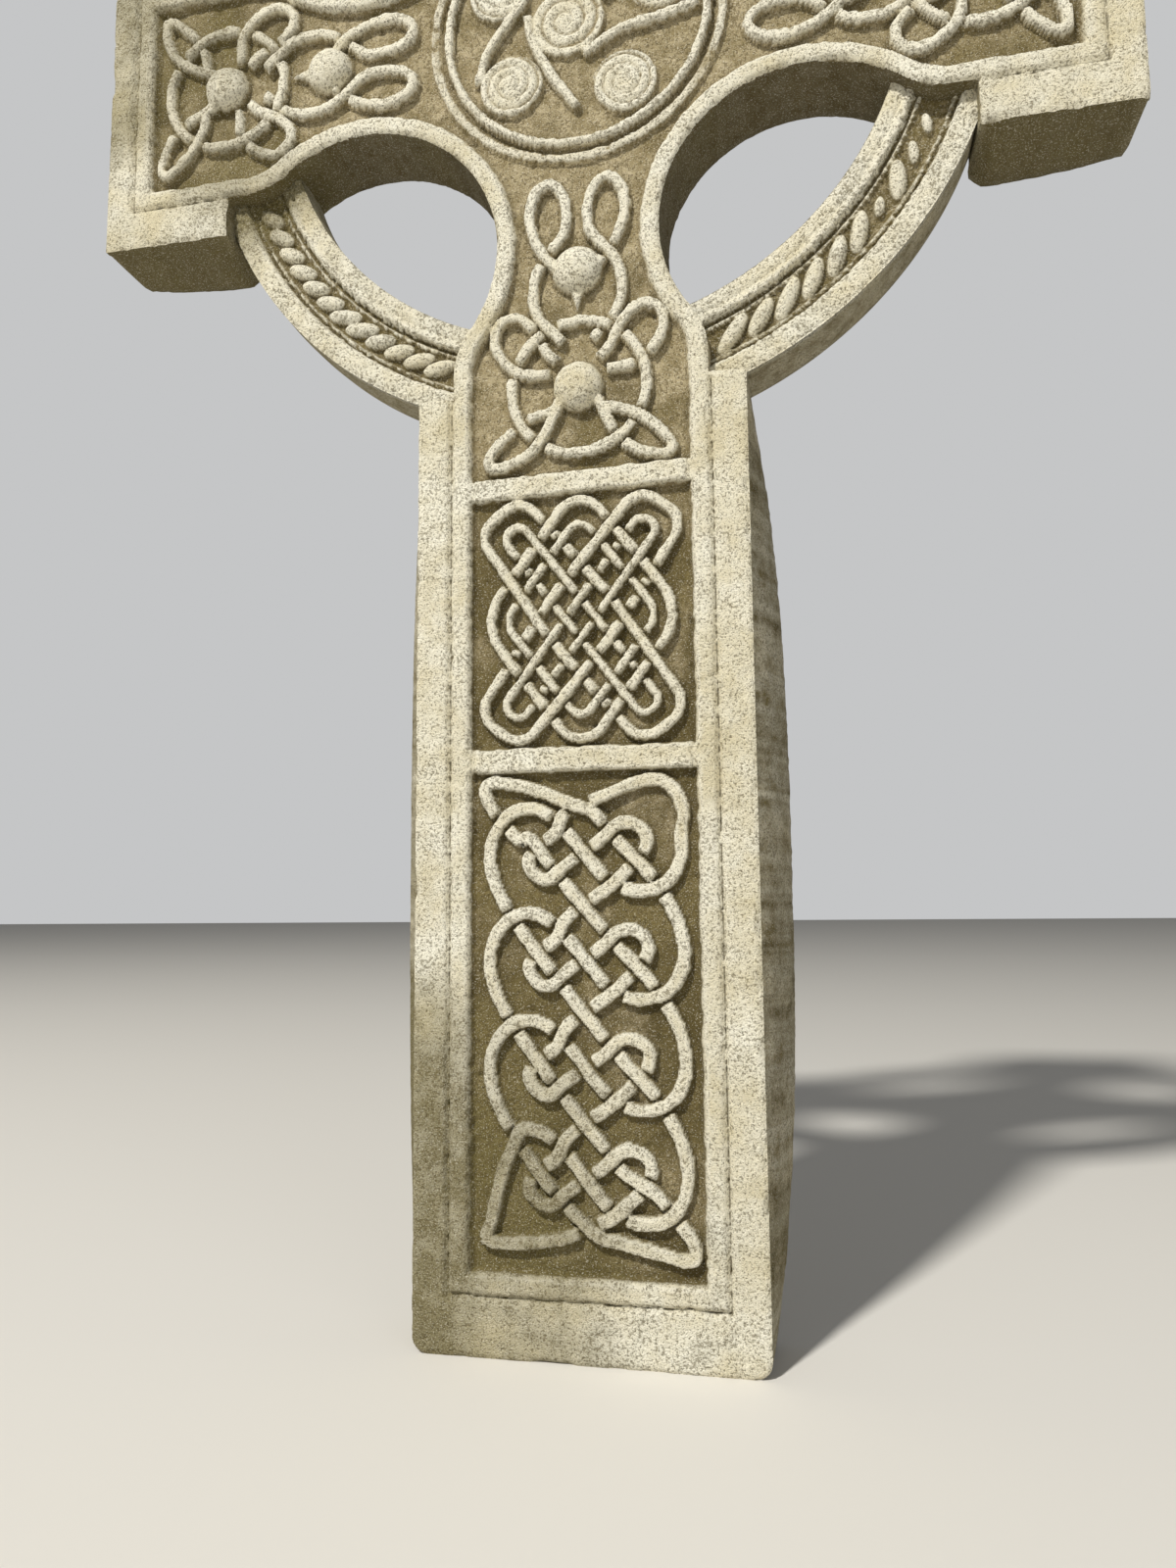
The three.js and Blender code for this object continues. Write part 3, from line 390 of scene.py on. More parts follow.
# The whole cross without its ring: the limbs, and beyond the ring the wider shaft, arms and top.
def outline_distance(x, z):
    ax, dz = np.abs(x), z - CENTRE_HEIGHT
    az = np.abs(dz)
    ends = np.maximum(ax - arm_reach, np.maximum(-z, dz - TOP_REACH))
    core = np.maximum(limb_distance(x, z), ends)
    top = np.maximum(ax - half_shaft, np.maximum(band_start - dz, dz - TOP_REACH))
    arms = np.maximum(az - half_arm, np.maximum(band_start - ax, ax - arm_reach))
    corner_x = half_shaft - FOOT_CORNER
    corner = np.hypot(ax - corner_x, z - FOOT_CORNER) - FOOT_CORNER
    sides = np.where((z < FOOT_CORNER) & (ax > corner_x), corner, ax - half_shaft)
    shaft = np.maximum(sides, np.maximum(-z, dz + band_start))
    core = np.where(z < FOOT_CORNER, shaft, core)
    return np.minimum(core, np.minimum(top, np.minimum(arms, shaft)))


# Knotwork paths, as in the solid

# A smooth curve through the points.
def smooth(points, closed):
    p = np.array(points, float)
    count = len(p)
    spans = count if closed else count - 1
    total = count * SMOOTH_STEPS
    found = []
    for k in range(total if closed else total + 1):
        at = k / total * spans
        i = min(int(at), spans - 1)
        t = at - i
        b, c = p[i], p[(i + 1) % count]
        a = p[i - 1] if closed or i > 0 else 2 * b - c
        d = p[(i + 2) % count] if closed or i + 2 < count else 2 * c - b
        m, n = (c - a) / 2, (d - b) / 2
        found.append(b + m * t + (3 * (c - b) - 2 * m - n) * t ** 2 + (2 * (b - c) + m + n) * t ** 3)
    return np.array(found)


# A closed path through corners [x, z, radius], each corner rounded by its radius.
def rounded_loop(corners):
    found = []
    count = len(corners)
    for i, (x, z, radius) in enumerate(corners):
        here = np.array([x, z], float)
        back = np.array(corners[i - 1][:2], float) - here
        ahead = np.array(corners[(i + 1) % count][:2], float) - here
        back /= np.linalg.norm(back)
        ahead /= np.linalg.norm(ahead)
        half = math.acos(max(-1.0, min(1.0, float(back @ ahead)))) / 2
        middle = (back + ahead) / np.linalg.norm(back + ahead) * radius / math.sin(half)
        start = back * radius / math.tan(half) - middle
        end = ahead * radius / math.tan(half) - middle
        first = math.atan2(start[1], start[0])
        turn = math.atan2(start[0] * end[1] - start[1] * end[0], float(start @ end))
        for angle in first + turn * np.linspace(0, 1, max(4, math.ceil(abs(turn) * 10))):
            found.append(here + middle + radius * np.array([math.cos(angle), math.sin(angle)]))
    return np.array(found)


def strand(path, closed, width):
    return {"path": np.array(path, float), "closed": closed, "width": width}


# Lowest panel: two long strands that hook round each other on the way up.
def chain_strands():
    bottom = FOOT_BAND + MOULDING + CHAIN_FOOT_MARGIN
    top = LOWER_BAR_HEIGHT - CHAIN_TOP_MARGIN
    pitch = (top - bottom) / (CHAIN_UNITS - 1)
    across = panel_half * CURVE_STEP
    up = pitch / CHAIN_PITCH_STEPS
    last = CHAIN_UNITS - 1

    def place(points, unit):
        return [[x * across, top - unit * pitch + z * up] for x, z in points]

    hooks = [point for unit in range(last, -1, -1) for point in place(CHAIN_HOOKS, unit)]
    inner = hooks[1:] + place(CHAIN_TOP_RIGHT, 0) + place(CHAIN_SIDE[CHAIN_SIDE_TURN:], 0)
    inner += place(CHAIN_DIAGONAL, 0) + place(CHAIN_SIDE[:CHAIN_SIDE_ARCH], last)
    inner += place(CHAIN_BOTTOM_LEFT, last)
    outer = place(CHAIN_TOP_LEFT, 0) + place(CHAIN_DIAGONAL[1:], -1) + place(CHAIN_SIDE, 2)
    outer += place(CHAIN_DIAGONAL[:3], 2) + place(CHAIN_BOTTOM_RIGHT, last)
    outer += place(CHAIN_DIAGONAL, 1)[::-1] + place(CHAIN_SIDE, 1)[::-1]
    outer += place(CHAIN_DIAGONAL[5:], -2)[::-1] + place(CHAIN_TOP_MIDDLE, 0)
    return [strand(smooth(points, True), True, STRAND_WIDTH) for points in (inner, outer)]


# Middle panel: two diamonds plaited with two pairs of long loops laid crosswise.
def plait_strands():
    low = LOWER_BAR_HEIGHT + LOWER_BAR_WIDTH
    middle = (low + UPPER_BAR_HEIGHT) / 2
    scale = (UPPER_BAR_HEIGHT - low) / 2 * PLAIT_STEP
    found = []
    for reach, top_radius, side_radius, width in PLAIT_DIAMONDS:
        wide = reach / PLAIT_SLOPE
        corners = [
            (0, -reach, top_radius), (wide, 0, side_radius), (0, reach, top_radius), (-wide, 0, side_radius),
        ]
        found.append(strand(rounded_loop(corners) * scale + [0, middle], True, width))
    for side in (1, -1):
        lean = math.atan(PLAIT_SLOPE * side) + (math.pi if side < 0 else 0)
        turn = np.array([[math.cos(lean), math.sin(lean)], [-math.sin(lean), math.cos(lean)]])
        for reach, end, waist, radius, width in PLAIT_LOOPS:
            corners = [
                (-reach, -end, radius), (0, -waist, reach), (reach, -end, radius),
                (reach, end, radius), (0, waist, reach), (-reach, end, radius),
            ]
            found.append(strand((rounded_loop(corners) @ turn) * scale + [0, middle], True, width))
    return found


# Boss knot of one limb: its strands, the middles of its bosses and the corners of its small point.
def knot(out, reach):
    step = panel_half * CURVE_STEP
    ox, oz = out

    def place(u, v):
        return [ox * (reach - v) - oz * u, CENTRE_HEIGHT + oz * (reach - v) + ox * u]

    turn = np.linspace(0, 2 * math.pi, 60, endpoint=False)
    ring = [place(KNOT_RING * math.cos(a), KNOT_RING * math.sin(a)) for a in turn]
    found = [strand(ring, True, KNOT_STRAND_WIDTH)]
    for side in (1, -1):
        for curve in (NEAR_LOOP, FAR_LOOP, EAR_LOOP):
            points = [place(u * side * step, v * step) for u, v in curve]
            found.append(strand(smooth(points, False), False, KNOT_STRAND_WIDTH))
    bosses = [place(0, 0), place(0, BOSS_SPACING)]
    root = BOSS_SPACING - BEAK_ROOT
    beak = [place(-BEAK_WIDTH / 2, root), place(0, BOSS_SPACING - BEAK_LENGTH), place(BEAK_WIDTH / 2, root)]
    return found, bosses, beak


def circle(radius, width):
    turn = np.linspace(0, 2 * math.pi, 120, endpoint=False)
    return strand(np.c_[radius * np.cos(turn), roundel_z + radius * np.sin(turn)], True, width)


# Every crossing of a group of strands: two passes (strand, place along its path) and the angle's sine.
def crossings_of(strands):
    starts, ends, owner, place = [], [], [], []
    for k, s in enumerate(strands):
        count = len(s["path"]) - (0 if s["closed"] else 1)
        starts.append(s["path"][:count])
        ends.append(np.roll(s["path"], -1, axis=0)[:count])
        owner += [k] * count
        place += list(range(count))
    a, b = np.concatenate(starts), np.concatenate(ends)
    run = b - a
    found = []
    for m in range(len(a)):
        other = run[m + 1:]
        gap = a[m + 1:] - a[m]
        cross = run[m, 0] * other[:, 1] - run[m, 1] * other[:, 0]
        safe = np.where(np.abs(cross) > 1e-9, cross, np.inf)
        t = (gap[:, 0] * other[:, 1] - gap[:, 1] * other[:, 0]) / safe
        u = (gap[:, 0] * run[m, 1] - gap[:, 1] * run[m, 0]) / safe
        for n in np.nonzero((np.abs(cross) > 1e-9) & (t >= 0) & (t < 1) & (u >= 0) & (u < 1))[0]:
            q = m + 1 + n
            if np.allclose(b[m], a[q]) or np.allclose(b[q], a[m]):
                continue
            sine = abs(cross[n]) / (np.linalg.norm(run[m]) * np.linalg.norm(other[n]))
            passes = [(owner[m], place[m] + t[n]), (owner[q], place[q] + u[n])]
            found.append({"passes": passes, "sine": sine, "over": None})
    return found


# Marks which pass of each crossing lies on top, by turns along every strand.
def alternate(strands, crossings):
    for k in range(len(strands)):
        visits = [
            (at, c, side) for c in crossings for side, (owner, at) in enumerate(c["passes"]) if owner == k
        ]
        visits.sort(key=lambda visit: visit[0])
        known = [i for i, (_, c, _) in enumerate(visits) if c["over"] is not None]
        start = known[0] if known else 0
        on_top = not known or visits[start][1]["over"] == visits[start][2]
        for i in range(len(visits)):
            _, c, side = visits[(start + i) % len(visits)]
            if c["over"] is None:
                c["over"] = side if on_top else 1 - side
            on_top = not on_top


# Carving: each function raises a form out of the depth field, measured behind the flat bands

# How far one strand has sunk at each distance along it, 0 on top to 1 under another strand.
def sinking(k, strands, crossings, distances, lengths):
    total = lengths[-1]
    sunk = np.zeros_like(distances)
    for c in crossings:
        for side, (owner, at) in enumerate(c["passes"]):
            if owner != k or side == c["over"]:
                continue
            i = int(at)
            middle = lengths[i] + (lengths[i + 1] - lengths[i]) * (at - i)
            away = np.abs(distances - middle)
            if strands[k]["closed"]:
                away = np.minimum(away, total - away)
            reach = (strands[c["passes"][c["over"]][0]]["width"] / 2 + DIVE_CLEARANCE) / c["sine"]
            sunk = np.maximum(sunk, 1 - ramp(reach, reach + DIVE_RUN, away))
    return sunk


# Each strand is flat on top and is stamped in short straight pieces square to its run.
def carve_strands(depth, strands, crest):
    crossings = crossings_of(strands)
    alternate(strands, crossings)
    for k, s in enumerate(strands):
        points = np.vstack([s["path"], s["path"][:1]]) if s["closed"] else s["path"]
        lengths = np.r_[0, np.cumsum(np.linalg.norm(np.diff(points, axis=0), axis=1))]
        distances = np.arange(0, lengths[-1], STAMP_STEP)
        px = np.interp(distances, lengths, points[:, 0])
        pz = np.interp(distances, lengths, points[:, 1])
        run_x, run_z = np.gradient(px), np.gradient(pz)
        run = np.hypot(run_x, run_z)
        half = s["width"] / 2
        sunk = sinking(k, strands, crossings, distances, lengths)
        for x, z, tx, tz, low in zip(px, pz, run_x / run, run_z / run, sunk):
            area = around(x, z, half + STAMP_MARGIN)
            dx, dz = X[area] - x, Z[area] - z
            away = np.abs(dx * tz - dz * tx) + wander[area]
            top = crest + DIVE_DEPTH * low + worn[area] + STRAND_CROWN * (np.maximum(away, 0) / half) ** 2
            shape = top + (PANEL_DEPTH - top) * ramp(half * STRAND_FLAT, half + STRAND_FOOT, away)
            piece = np.abs(dx * tx + dz * tz) < STAMP_STEP
            depth[area] = np.where(piece, np.minimum(depth[area], shape), depth[area])


def carve_bar(depth, low, width, slope):
    away = np.abs(Z - low - width / 2 - slope * X) + EDGE_WANDER * wander
    bar = BAR_SINK + PANEL_DEPTH * ramp(width / 2 - BAR_EDGE_IN, width / 2 + BAR_EDGE_OUT, away)
    seam = np.abs(X) - panel_half + BAR_SEAM_WANDER * wander
    bar += BAR_SEAM_DEPTH * np.exp(-(seam / BAR_SEAM_WIDTH) ** 2)
    np.minimum(depth, np.where(np.abs(X) < FRAME_HALF, bar, NOT_CARVED), out=depth)


def carve_boss(depth, x, z):
    away = np.hypot(X - x, Z - z) + BOSS_WANDER * wander
    curve = np.sqrt(np.clip(1 - (away / BOSS_RADIUS) ** 2, 0, 1))
    dome = PANEL_DEPTH + BOSS_FOOT - (BOSS_HEIGHT + BOSS_FOOT) * curve
    np.minimum(depth, np.where(away < BOSS_RADIUS, dome + SURFACE_GRAIN * rough, NOT_CARVED), out=depth)


# The small point beside a boss, whose corners run anticlockwise.
def carve_beak(depth, corners):
    a, b, c = (np.array(corner, float) for corner in corners)
    inside = np.full(X.shape, OUTSIDE)
    for p, q in ((a, b), (b, c), (c, a)):
        edge = (q - p) / np.linalg.norm(q - p)
        inside = np.minimum(inside, (Z - p[1]) * edge[0] - (X - p[0]) * edge[1])
    raised_share = ramp(-BEAK_EDGE_OUT, BEAK_EDGE_IN, inside)
    np.minimum(depth, PANEL_DEPTH - (PANEL_DEPTH - BEAK_SINK) * raised_share, out=depth)


# A low disc with a spiral groove, wound towards `first`.
def carve_coil(depth, x, z, radius, first, groove_pitch, rise):
    away = np.hypot(X - x, Z - z) + wander
    angle = np.arctan2(Z - z, X - x) - first
    phase = (away / groove_pitch - angle / (2 * math.pi)) % 1
    groove_here = np.exp(-((phase - 0.5) / COIL_GROOVE_WIDTH) ** 2) * ramp(*COIL_EYE, away)
    top = PANEL_DEPTH - rise + COIL_GROOVE * groove_here - COIL_DOME * (1 - (away / radius) ** 2)
    shape = top + (PANEL_DEPTH - top) * ramp(radius - COIL_EDGE_IN, radius + COIL_EDGE_OUT, away)
    np.minimum(depth, np.where(away < radius + COIL_EDGE_OUT, shape, NOT_CARVED), out=depth)


def carve_roundel(depth):
    carve_strands(depth, [circle(ROUNDEL_OUTER_RIDGE, OUTER_RIDGE_WIDTH)], OUTER_RIDGE_SINK)
    carve_coil(depth, -CENTRAL_SPIRAL_SHIFT, roundel_z, CENTRAL_SPIRAL_RADIUS, CENTRAL_COIL_START,
               CENTRAL_COIL_PITCH, CENTRAL_COIL_RISE)
    for angle in np.radians(SPIRAL_ANGLES):
        x, z = SPIRAL_ORBIT * math.cos(angle), roundel_z + SPIRAL_ORBIT * math.sin(angle)
        carve_coil(depth, x, z, SPIRAL_RADIUS, angle, COIL_PITCH, COIL_RISE)
    ties = [strand(smooth([[x, roundel_z + z] for x, z in tie], False), False, FINE_STRAND_WIDTH)
            for tie in ROUNDEL_TIES]
    carve_strands(depth, ties, TIE_SINK)
    carve_strands(depth, [circle(ROUNDEL_RADIUS, ROUNDEL_RIM)], STRAND_SINK)


def carve_panels():
    carving = np.full(X.shape, NOT_CARVED)
    carve_bar(carving, LOWER_BAR_HEIGHT, LOWER_BAR_WIDTH, 0)
    carve_bar(carving, UPPER_BAR_HEIGHT, UPPER_BAR_WIDTH, UPPER_BAR_SLOPE)
    carve_strands(carving, chain_strands(), STRAND_SINK)
    carve_strands(carving, plait_strands(), STRAND_SINK)
    limb_reach = arm_reach - END_BAND - MOULDING - KNOT_FROM_EDGE
    top_reach = TOP_REACH - END_BAND - MOULDING - KNOT_FROM_EDGE
    shaft_reach = CENTRE_HEIGHT - UPPER_BAR_HEIGHT - UPPER_BAR_WIDTH - KNOT_FROM_EDGE
    limbs = [((0, -1), shaft_reach), ((0, 1), top_reach), ((1, 0), limb_reach), ((-1, 0), limb_reach)]
    for out, reach in limbs:
        strands, bosses, beak = knot(out, reach)
        carve_strands(carving, strands, STRAND_SINK)
        for x, z in bosses:
            carve_boss(carving, x, z)
        carve_beak(carving, beak)
    carve_roundel(carving)
    return carving


# Wear: wandering edges, coarse grain, worn crests and chipped corners
wander = 0.20 * ripple(1.7) + 0.18 * ripple(4.5)
rough = 0.5 * ripple(1.1) + 0.35 * ripple(2.3) + 0.25 * ripple(6.0)
worn = 0.5 * ramp(0.25, 0.9, ripple(13)) + 0.12 * np.abs(rough)
edge = outline_distance(X, Z)
moulding = moulding_distance(X, Z) + EDGE_WANDER * wander
bevel = ramp(MOULDING_BEVEL - MOULDING + 0.4, -MOULDING - 0.3, moulding)

groove = GROOVE_DEPTH * np.exp(-((moulding - GROOVE_WIDTH / 2) / (GROOVE_WIDTH / 2)) ** 2)
groove *= ramp(0.6, 2.2, -edge)
worn_lip = MOULDING_WEAR * ramp(-1.5, 0.2, moulding) * (moulding < GROOVE_WIDTH / 2)
depth = groove + worn_lip + PANEL_DEPTH * bevel + (BAND_GRAIN + PANEL_GRAIN * bevel) * rough
depth = np.where(bevel > 0.02, np.minimum(depth, carve_panels() + SURFACE_GRAIN * rough), depth)
chips = ramp(0.3, 0.8, ripple(7)) + 0.5 * ramp(0.2, 0.8, ripple(2.5))
depth += EDGE_WEAR * ramp(-1.1, 0.2, edge) + CHIP_DEPTH * chips * ramp(-2.2, 0, edge + 0.8 * wander)

pock_x = random.uniform(-arm_reach, arm_reach, POCK_COUNT)
pock_z = random.uniform(0, height, POCK_COUNT)
pock_sizes = random.uniform(POCK_SMALLEST, POCK_LARGEST, POCK_COUNT)
for x, z, size in zip(pock_x, pock_z, pock_sizes):
    area = around(x, z, 2 * size)
    depth[area] += POCK_DEPTH * np.exp(-(((X[area] - x) ** 2 + (Z[area] - z) ** 2) / size ** 2))
# Nothing stands out beyond the solid's bosses.
depth = np.maximum(depth, PANEL_DEPTH - BOSS_HEIGHT + 0.02)


# Weathering and painted-shade masks over the lattice: raised, hollow, moss, sandy; hollow gives painted
# shade with dirt in the recesses

def blurred(field, passes):
    result = field.copy()
    for _ in range(passes):
        p = np.pad(result, 1, mode="edge")
        result = (p[:-2, 1:-1] + p[2:, 1:-1] + p[1:-1, :-2] + p[1:-1, 2:] + 4 * result) / 8
    return result


raised = 1 - ramp(0.9, 2.8, depth)
# How far each place lies below its surroundings, for painted shade with dirt in the recesses
hollow = 0.5 + 0.25 * np.clip((depth - blurred(np.minimum(depth, PANEL_DEPTH), 22)) / 1.4, -1, 1)
to_left = ramp(30, -45, X)
near_foot = 1 - ramp(20, 170, Z)
on_arms = ramp(band_start - 45, band_start, np.abs(X))
moss = near_foot * (0.3 + 0.7 * to_left) + on_arms * (0.35 + 0.2 * to_left) + 0.3 * ripple(22)
moss = np.clip(moss, 0, 1)
sandy = np.clip(0.22 + 0.5 * ramp(230, 300, Z) - 0.35 * on_arms + 0.3 * ripple(12), 0, 1)
field_masks = np.stack([raised, hollow, moss, sandy], axis=-1).reshape(-1, 4)


# Meshes

# A piece of the cross from points in millimetres; its masks become the colour attribute of the stone.
def mesh_piece(name, points, masks, faces, smooth_shaded):
    used = np.unique(np.concatenate([np.asarray(face) for face in faces]))
    number = np.zeros(len(points), int)
    number[used] = np.arange(len(used))
    placed = (points[used] + [0, front_y, 0]) * MM
    mesh = bpy.data.meshes.new(name)
    mesh.from_pydata(placed.tolist(), [], [number[np.asarray(face)].tolist() for face in faces])
    # The colour attribute holds the weathering masks and the painted shade of the hollows.
    weather_and_shade = mesh.color_attributes.new("weather_and_shade", "FLOAT_COLOR", "POINT")
    weather_and_shade.data.foreach_set("color", masks[used].astype(np.float32).ravel())
    mesh.polygons.foreach_set("use_smooth", [smooth_shaded] * len(mesh.polygons))
    mesh.materials.append(stone)
    mesh.update()
    piece = bpy.data.objects.new(name, mesh)
    bpy.context.scene.collection.objects.link(piece)
    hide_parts("celtic_cross")
    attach(piece, "root")
    return piece


# Faces of the lattice inside the outline. Plain stretches are joined in fours, with extra corners where they
# meet single cells.
def lattice_faces():
    columns = len(grid_x)
    mid_x, mid_z = np.meshgrid((grid_x[:-1] + grid_x[1:]) / 2, (grid_z[:-1] + grid_z[1:]) / 2)
    from_edge, from_moulding = outline_distance(mid_x, mid_z), moulding_distance(mid_x, mid_z)
    on_band = from_moulding > GROOVE_WIDTH + CLEAR_OF_GROOVE
    on_moulding = from_moulding > MOULDING_BEVEL - MOULDING + CLEAR_OF_BEVEL
    on_moulding &= from_moulding < -CLEAR_OF_LIP
    plain = (from_edge < -CLEAR_OF_EDGE) & (on_band | on_moulding)
    rows, cols = plain.shape
    joined = plain.reshape(rows // 2, 2, cols // 2, 2).all(axis=(1, 3))
    single = (from_edge < 0) & ~np.kron(joined, np.ones((2, 2), bool))
    j, i = np.nonzero(single)
    a = j * columns + i
    faces = list(np.c_[a, a + 1, a + columns + 1, a + columns])
    for j, i in zip(*(2 * index for index in np.nonzero(joined))):
        base = j * columns + i
        corners = [base]
        if single[j - 1, i:i + 2].any():
            corners.append(base + 1)
        corners.append(base + 2)
        if single[j:j + 2, i + 2].any():
            corners.append(base + 2 + columns)
        corners.append(base + 2 + 2 * columns)
        if single[j + 2, i:i + 2].any():
            corners.append(base + 1 + 2 * columns)
        corners.append(base + 2 * columns)
        if single[j:j + 2, i - 1].any():
            corners.append(base + columns)
        faces.append(np.array(corners))
    return faces


# The points along the outer border of the faces, in order.
def boundary_loop(faces):
    edges = set()
    for face in faces:
        for a, b in zip(face.tolist(), np.roll(face, -1).tolist()):
            if (b, a) in edges:
                edges.remove((b, a))
            else:
                edges.add((a, b))
    following = dict(edges)
    loop = [next(iter(following))]
    while following[loop[-1]] != loop[0]:
        loop.append(following[loop[-1]])
    return np.array(loop)


# Direction straight out of the outline at each place.
def outward(x, z):
    h = 0.05
    gx = outline_distance(x + h, z) - outline_distance(x - h, z)
    gz = outline_distance(x, z + h) - outline_distance(x, z - h)
    length = np.maximum(np.hypot(gx, gz), 1e-9)
    return gx / length, gz / length


# How far the side wall swells at each place of the outline.
def swelling(x, z):
    shaft_top = CENTRE_HEIGHT - band_start
    out = np.maximum(np.abs(x), np.abs(z - CENTRE_HEIGHT))
    shaft = SHAFT_BULGE * (1 - np.minimum(np.abs(2 * z / shaft_top - 1), 1) ** 2.8)
    limb = LIMB_BULGE * (1 - np.minimum(out / TOP_REACH, 1) ** 8)
    return np.where(z < shaft_top, shaft, np.where(out > band_start + 1, limb, PIT_BULGE))


# Values along a closed loop, each drawn towards its neighbours.
def evened(values, passes):
    for _ in range(passes):
        values = (np.roll(values, 1) + 2 * values + np.roll(values, -1)) / 4
    return values


# Side walls from the edge of the carved face to the back, and the outline where they end. Behind the first
# layer the walls keep every other point.
def wall_faces(points, loop):
    x, z = points[loop, 0], points[loop, 2]
    nx, nz = (evened(part, 3) for part in outward(x, z))
    swell = evened(swelling(x, z), 8)
    grain = rough.ravel()[loop]
    # The walls of the openings and the undersides of the arms are darkened with painted shade and dirt.
    in_opening = np.hypot(x, z - CENTRE_HEIGHT) < RING_INNER + 4
    under = ramp(0.3, 0.8, -nz) * (z > UNDERSIDE_START)
    dirt_and_shade = evened(np.maximum(0.42 * in_opening, 0.26 * under), 6)
    algae = np.clip(0.25 + field_masks[loop, 2], 0, 1)
    masks = np.c_[0.45 + 0.2 * grain, 0.5 + dirt_and_shade, algae, field_masks[loop, 3]]
    keep = np.arange(len(loop))
    layers = [points[loop]]
    layer_masks = [masks]
    faces = []
    above = keep
    count = len(loop)
    for level, (layer_depth, share, inset) in enumerate(WALL_LAYERS):
        if level == 1:
            keep = keep[::2]
        push = (swell * share - inset + WALL_GRAIN * share * np.roll(grain, 5 * level))[keep]
        lx = np.clip(x[keep] + nx[keep] * push, -arm_reach, arm_reach)
        lz = np.clip(z[keep] + nz[keep] * push, 0, height)
        layers.append(np.c_[lx, np.full(len(keep), layer_depth), lz])
        layer_masks.append(masks[keep])
        here = count + np.arange(len(keep))
        count += len(keep)
        after, following = np.roll(above, -1), np.roll(here, -1)
        if level == 1:
            faces += list(np.c_[after[::2], above[::2], here, following, np.roll(above, -2)[::2]])
        else:
            faces += list(np.c_[after, above, here, following])
        above = here
    return np.vstack(layers), np.vstack(layer_masks), faces, layers[-1]


def back_faces(outline):
    ring = [Vector((x, z, 0)) for x, _, z in outline.tolist()]
    faces = []
    for a, b, c in tessellate_polygon([ring]):
        turn = (ring[b] - ring[a]).cross(ring[c] - ring[a]).z
        faces.append([a, c, b] if turn > 0 else [a, b, c])
    return faces


def build_cross():
    faces = lattice_faces()
    loop = boundary_loop(faces)
    points = np.c_[X.ravel(), depth.ravel(), Z.ravel()]
    # The points of the border move onto the outline.
    for _ in range(3):
        x, z = points[loop, 0], points[loop, 2]
        nx, nz = outward(x, z)
        away = outline_distance(x, z)
        points[loop, 0] = np.clip(x - nx * away, -arm_reach, arm_reach)
        points[loop, 2] = np.clip(z - nz * away, 0, height)
    points[loop, 1] = np.clip(points[loop, 1], BORDER_SHALLOWEST, BORDER_DEEPEST)
    first_row = np.array([face[0] // len(grid_x) for face in faces])
    split_row = np.searchsorted(grid_z, SPLIT_HEIGHT)
    lower = [face for face, row in zip(faces, first_row) if row < split_row]
    upper = [face for face, row in zip(faces, first_row) if row >= split_row]
    wall_points, wall_masks, walls, outline = wall_faces(points, loop)
    back_masks = np.tile(BACK_MASK, (len(outline), 1))
    return [
        mesh_piece("carved_face_lower", points, field_masks, lower, True),
        mesh_piece("carved_face_upper", points, field_masks, upper, True),
        mesh_piece("side_walls", wall_points, wall_masks, walls, True),
        mesh_piece("flat_back", outline, back_masks, back_faces(outline), False),
    ]


# Ring

# Depth of one rope's lobes over the quarter's lattice of angles and radii.
def rope_depth(quarter, angles, radii, middle):
    first = math.asin((FRAME_HALF + ROPE_CLEARANCE) / middle)
    count = ROPE_LOBES_RIGHT if quarter in RIGHT_QUARTERS else ROPE_LOBES_LEFT
    pitch = (math.pi / 2 - 2 * first) / count
    length = middle * pitch * ROPE_LOBE_STRETCH
    result = np.full(angles.shape, RING_CHANNEL_DEPTH * 2)
    for k in range(count):
        broken = quarter == LOWER_RIGHT and k in BROKEN_LOBES
        along = (angles - first - pitch * (k + 0.5)) * middle
        outwards = radii - middle
        u = along * math.cos(ROPE_TWIST) - outwards * math.sin(ROPE_TWIST)
        v = outwards * math.cos(ROPE_TWIST) + along * math.sin(ROPE_TWIST)
        half_length = length / 2 * random.uniform(*(BROKEN_LENGTHS if broken else LOBE_LENGTHS))
        half_width = ROPE_LOBE_WIDTH / 2 * (BROKEN_WIDTH if broken else 1)
        bump = np.clip(1 - (u / half_length) ** 2 - (v / half_width) ** 2, 0, 1)
        lobe_height = ROPE_HEIGHT * np.sqrt(bump) * (BROKEN_HEIGHT if broken else 1)
        lobe = RING_CHANNEL_DEPTH + ROPE_FOOT - lobe_height
        result = np.where(bump > 0, np.minimum(result, lobe), result)
    return result


# Random grain over a lattice, softened over neighbouring points.
def ring_grain(shape):
    grain = random.uniform(-1, 1, shape)
    return (2 * grain + np.roll(grain, 1, 0) + np.roll(grain, 1, 1) + np.roll(grain, -1, 1)) / 3
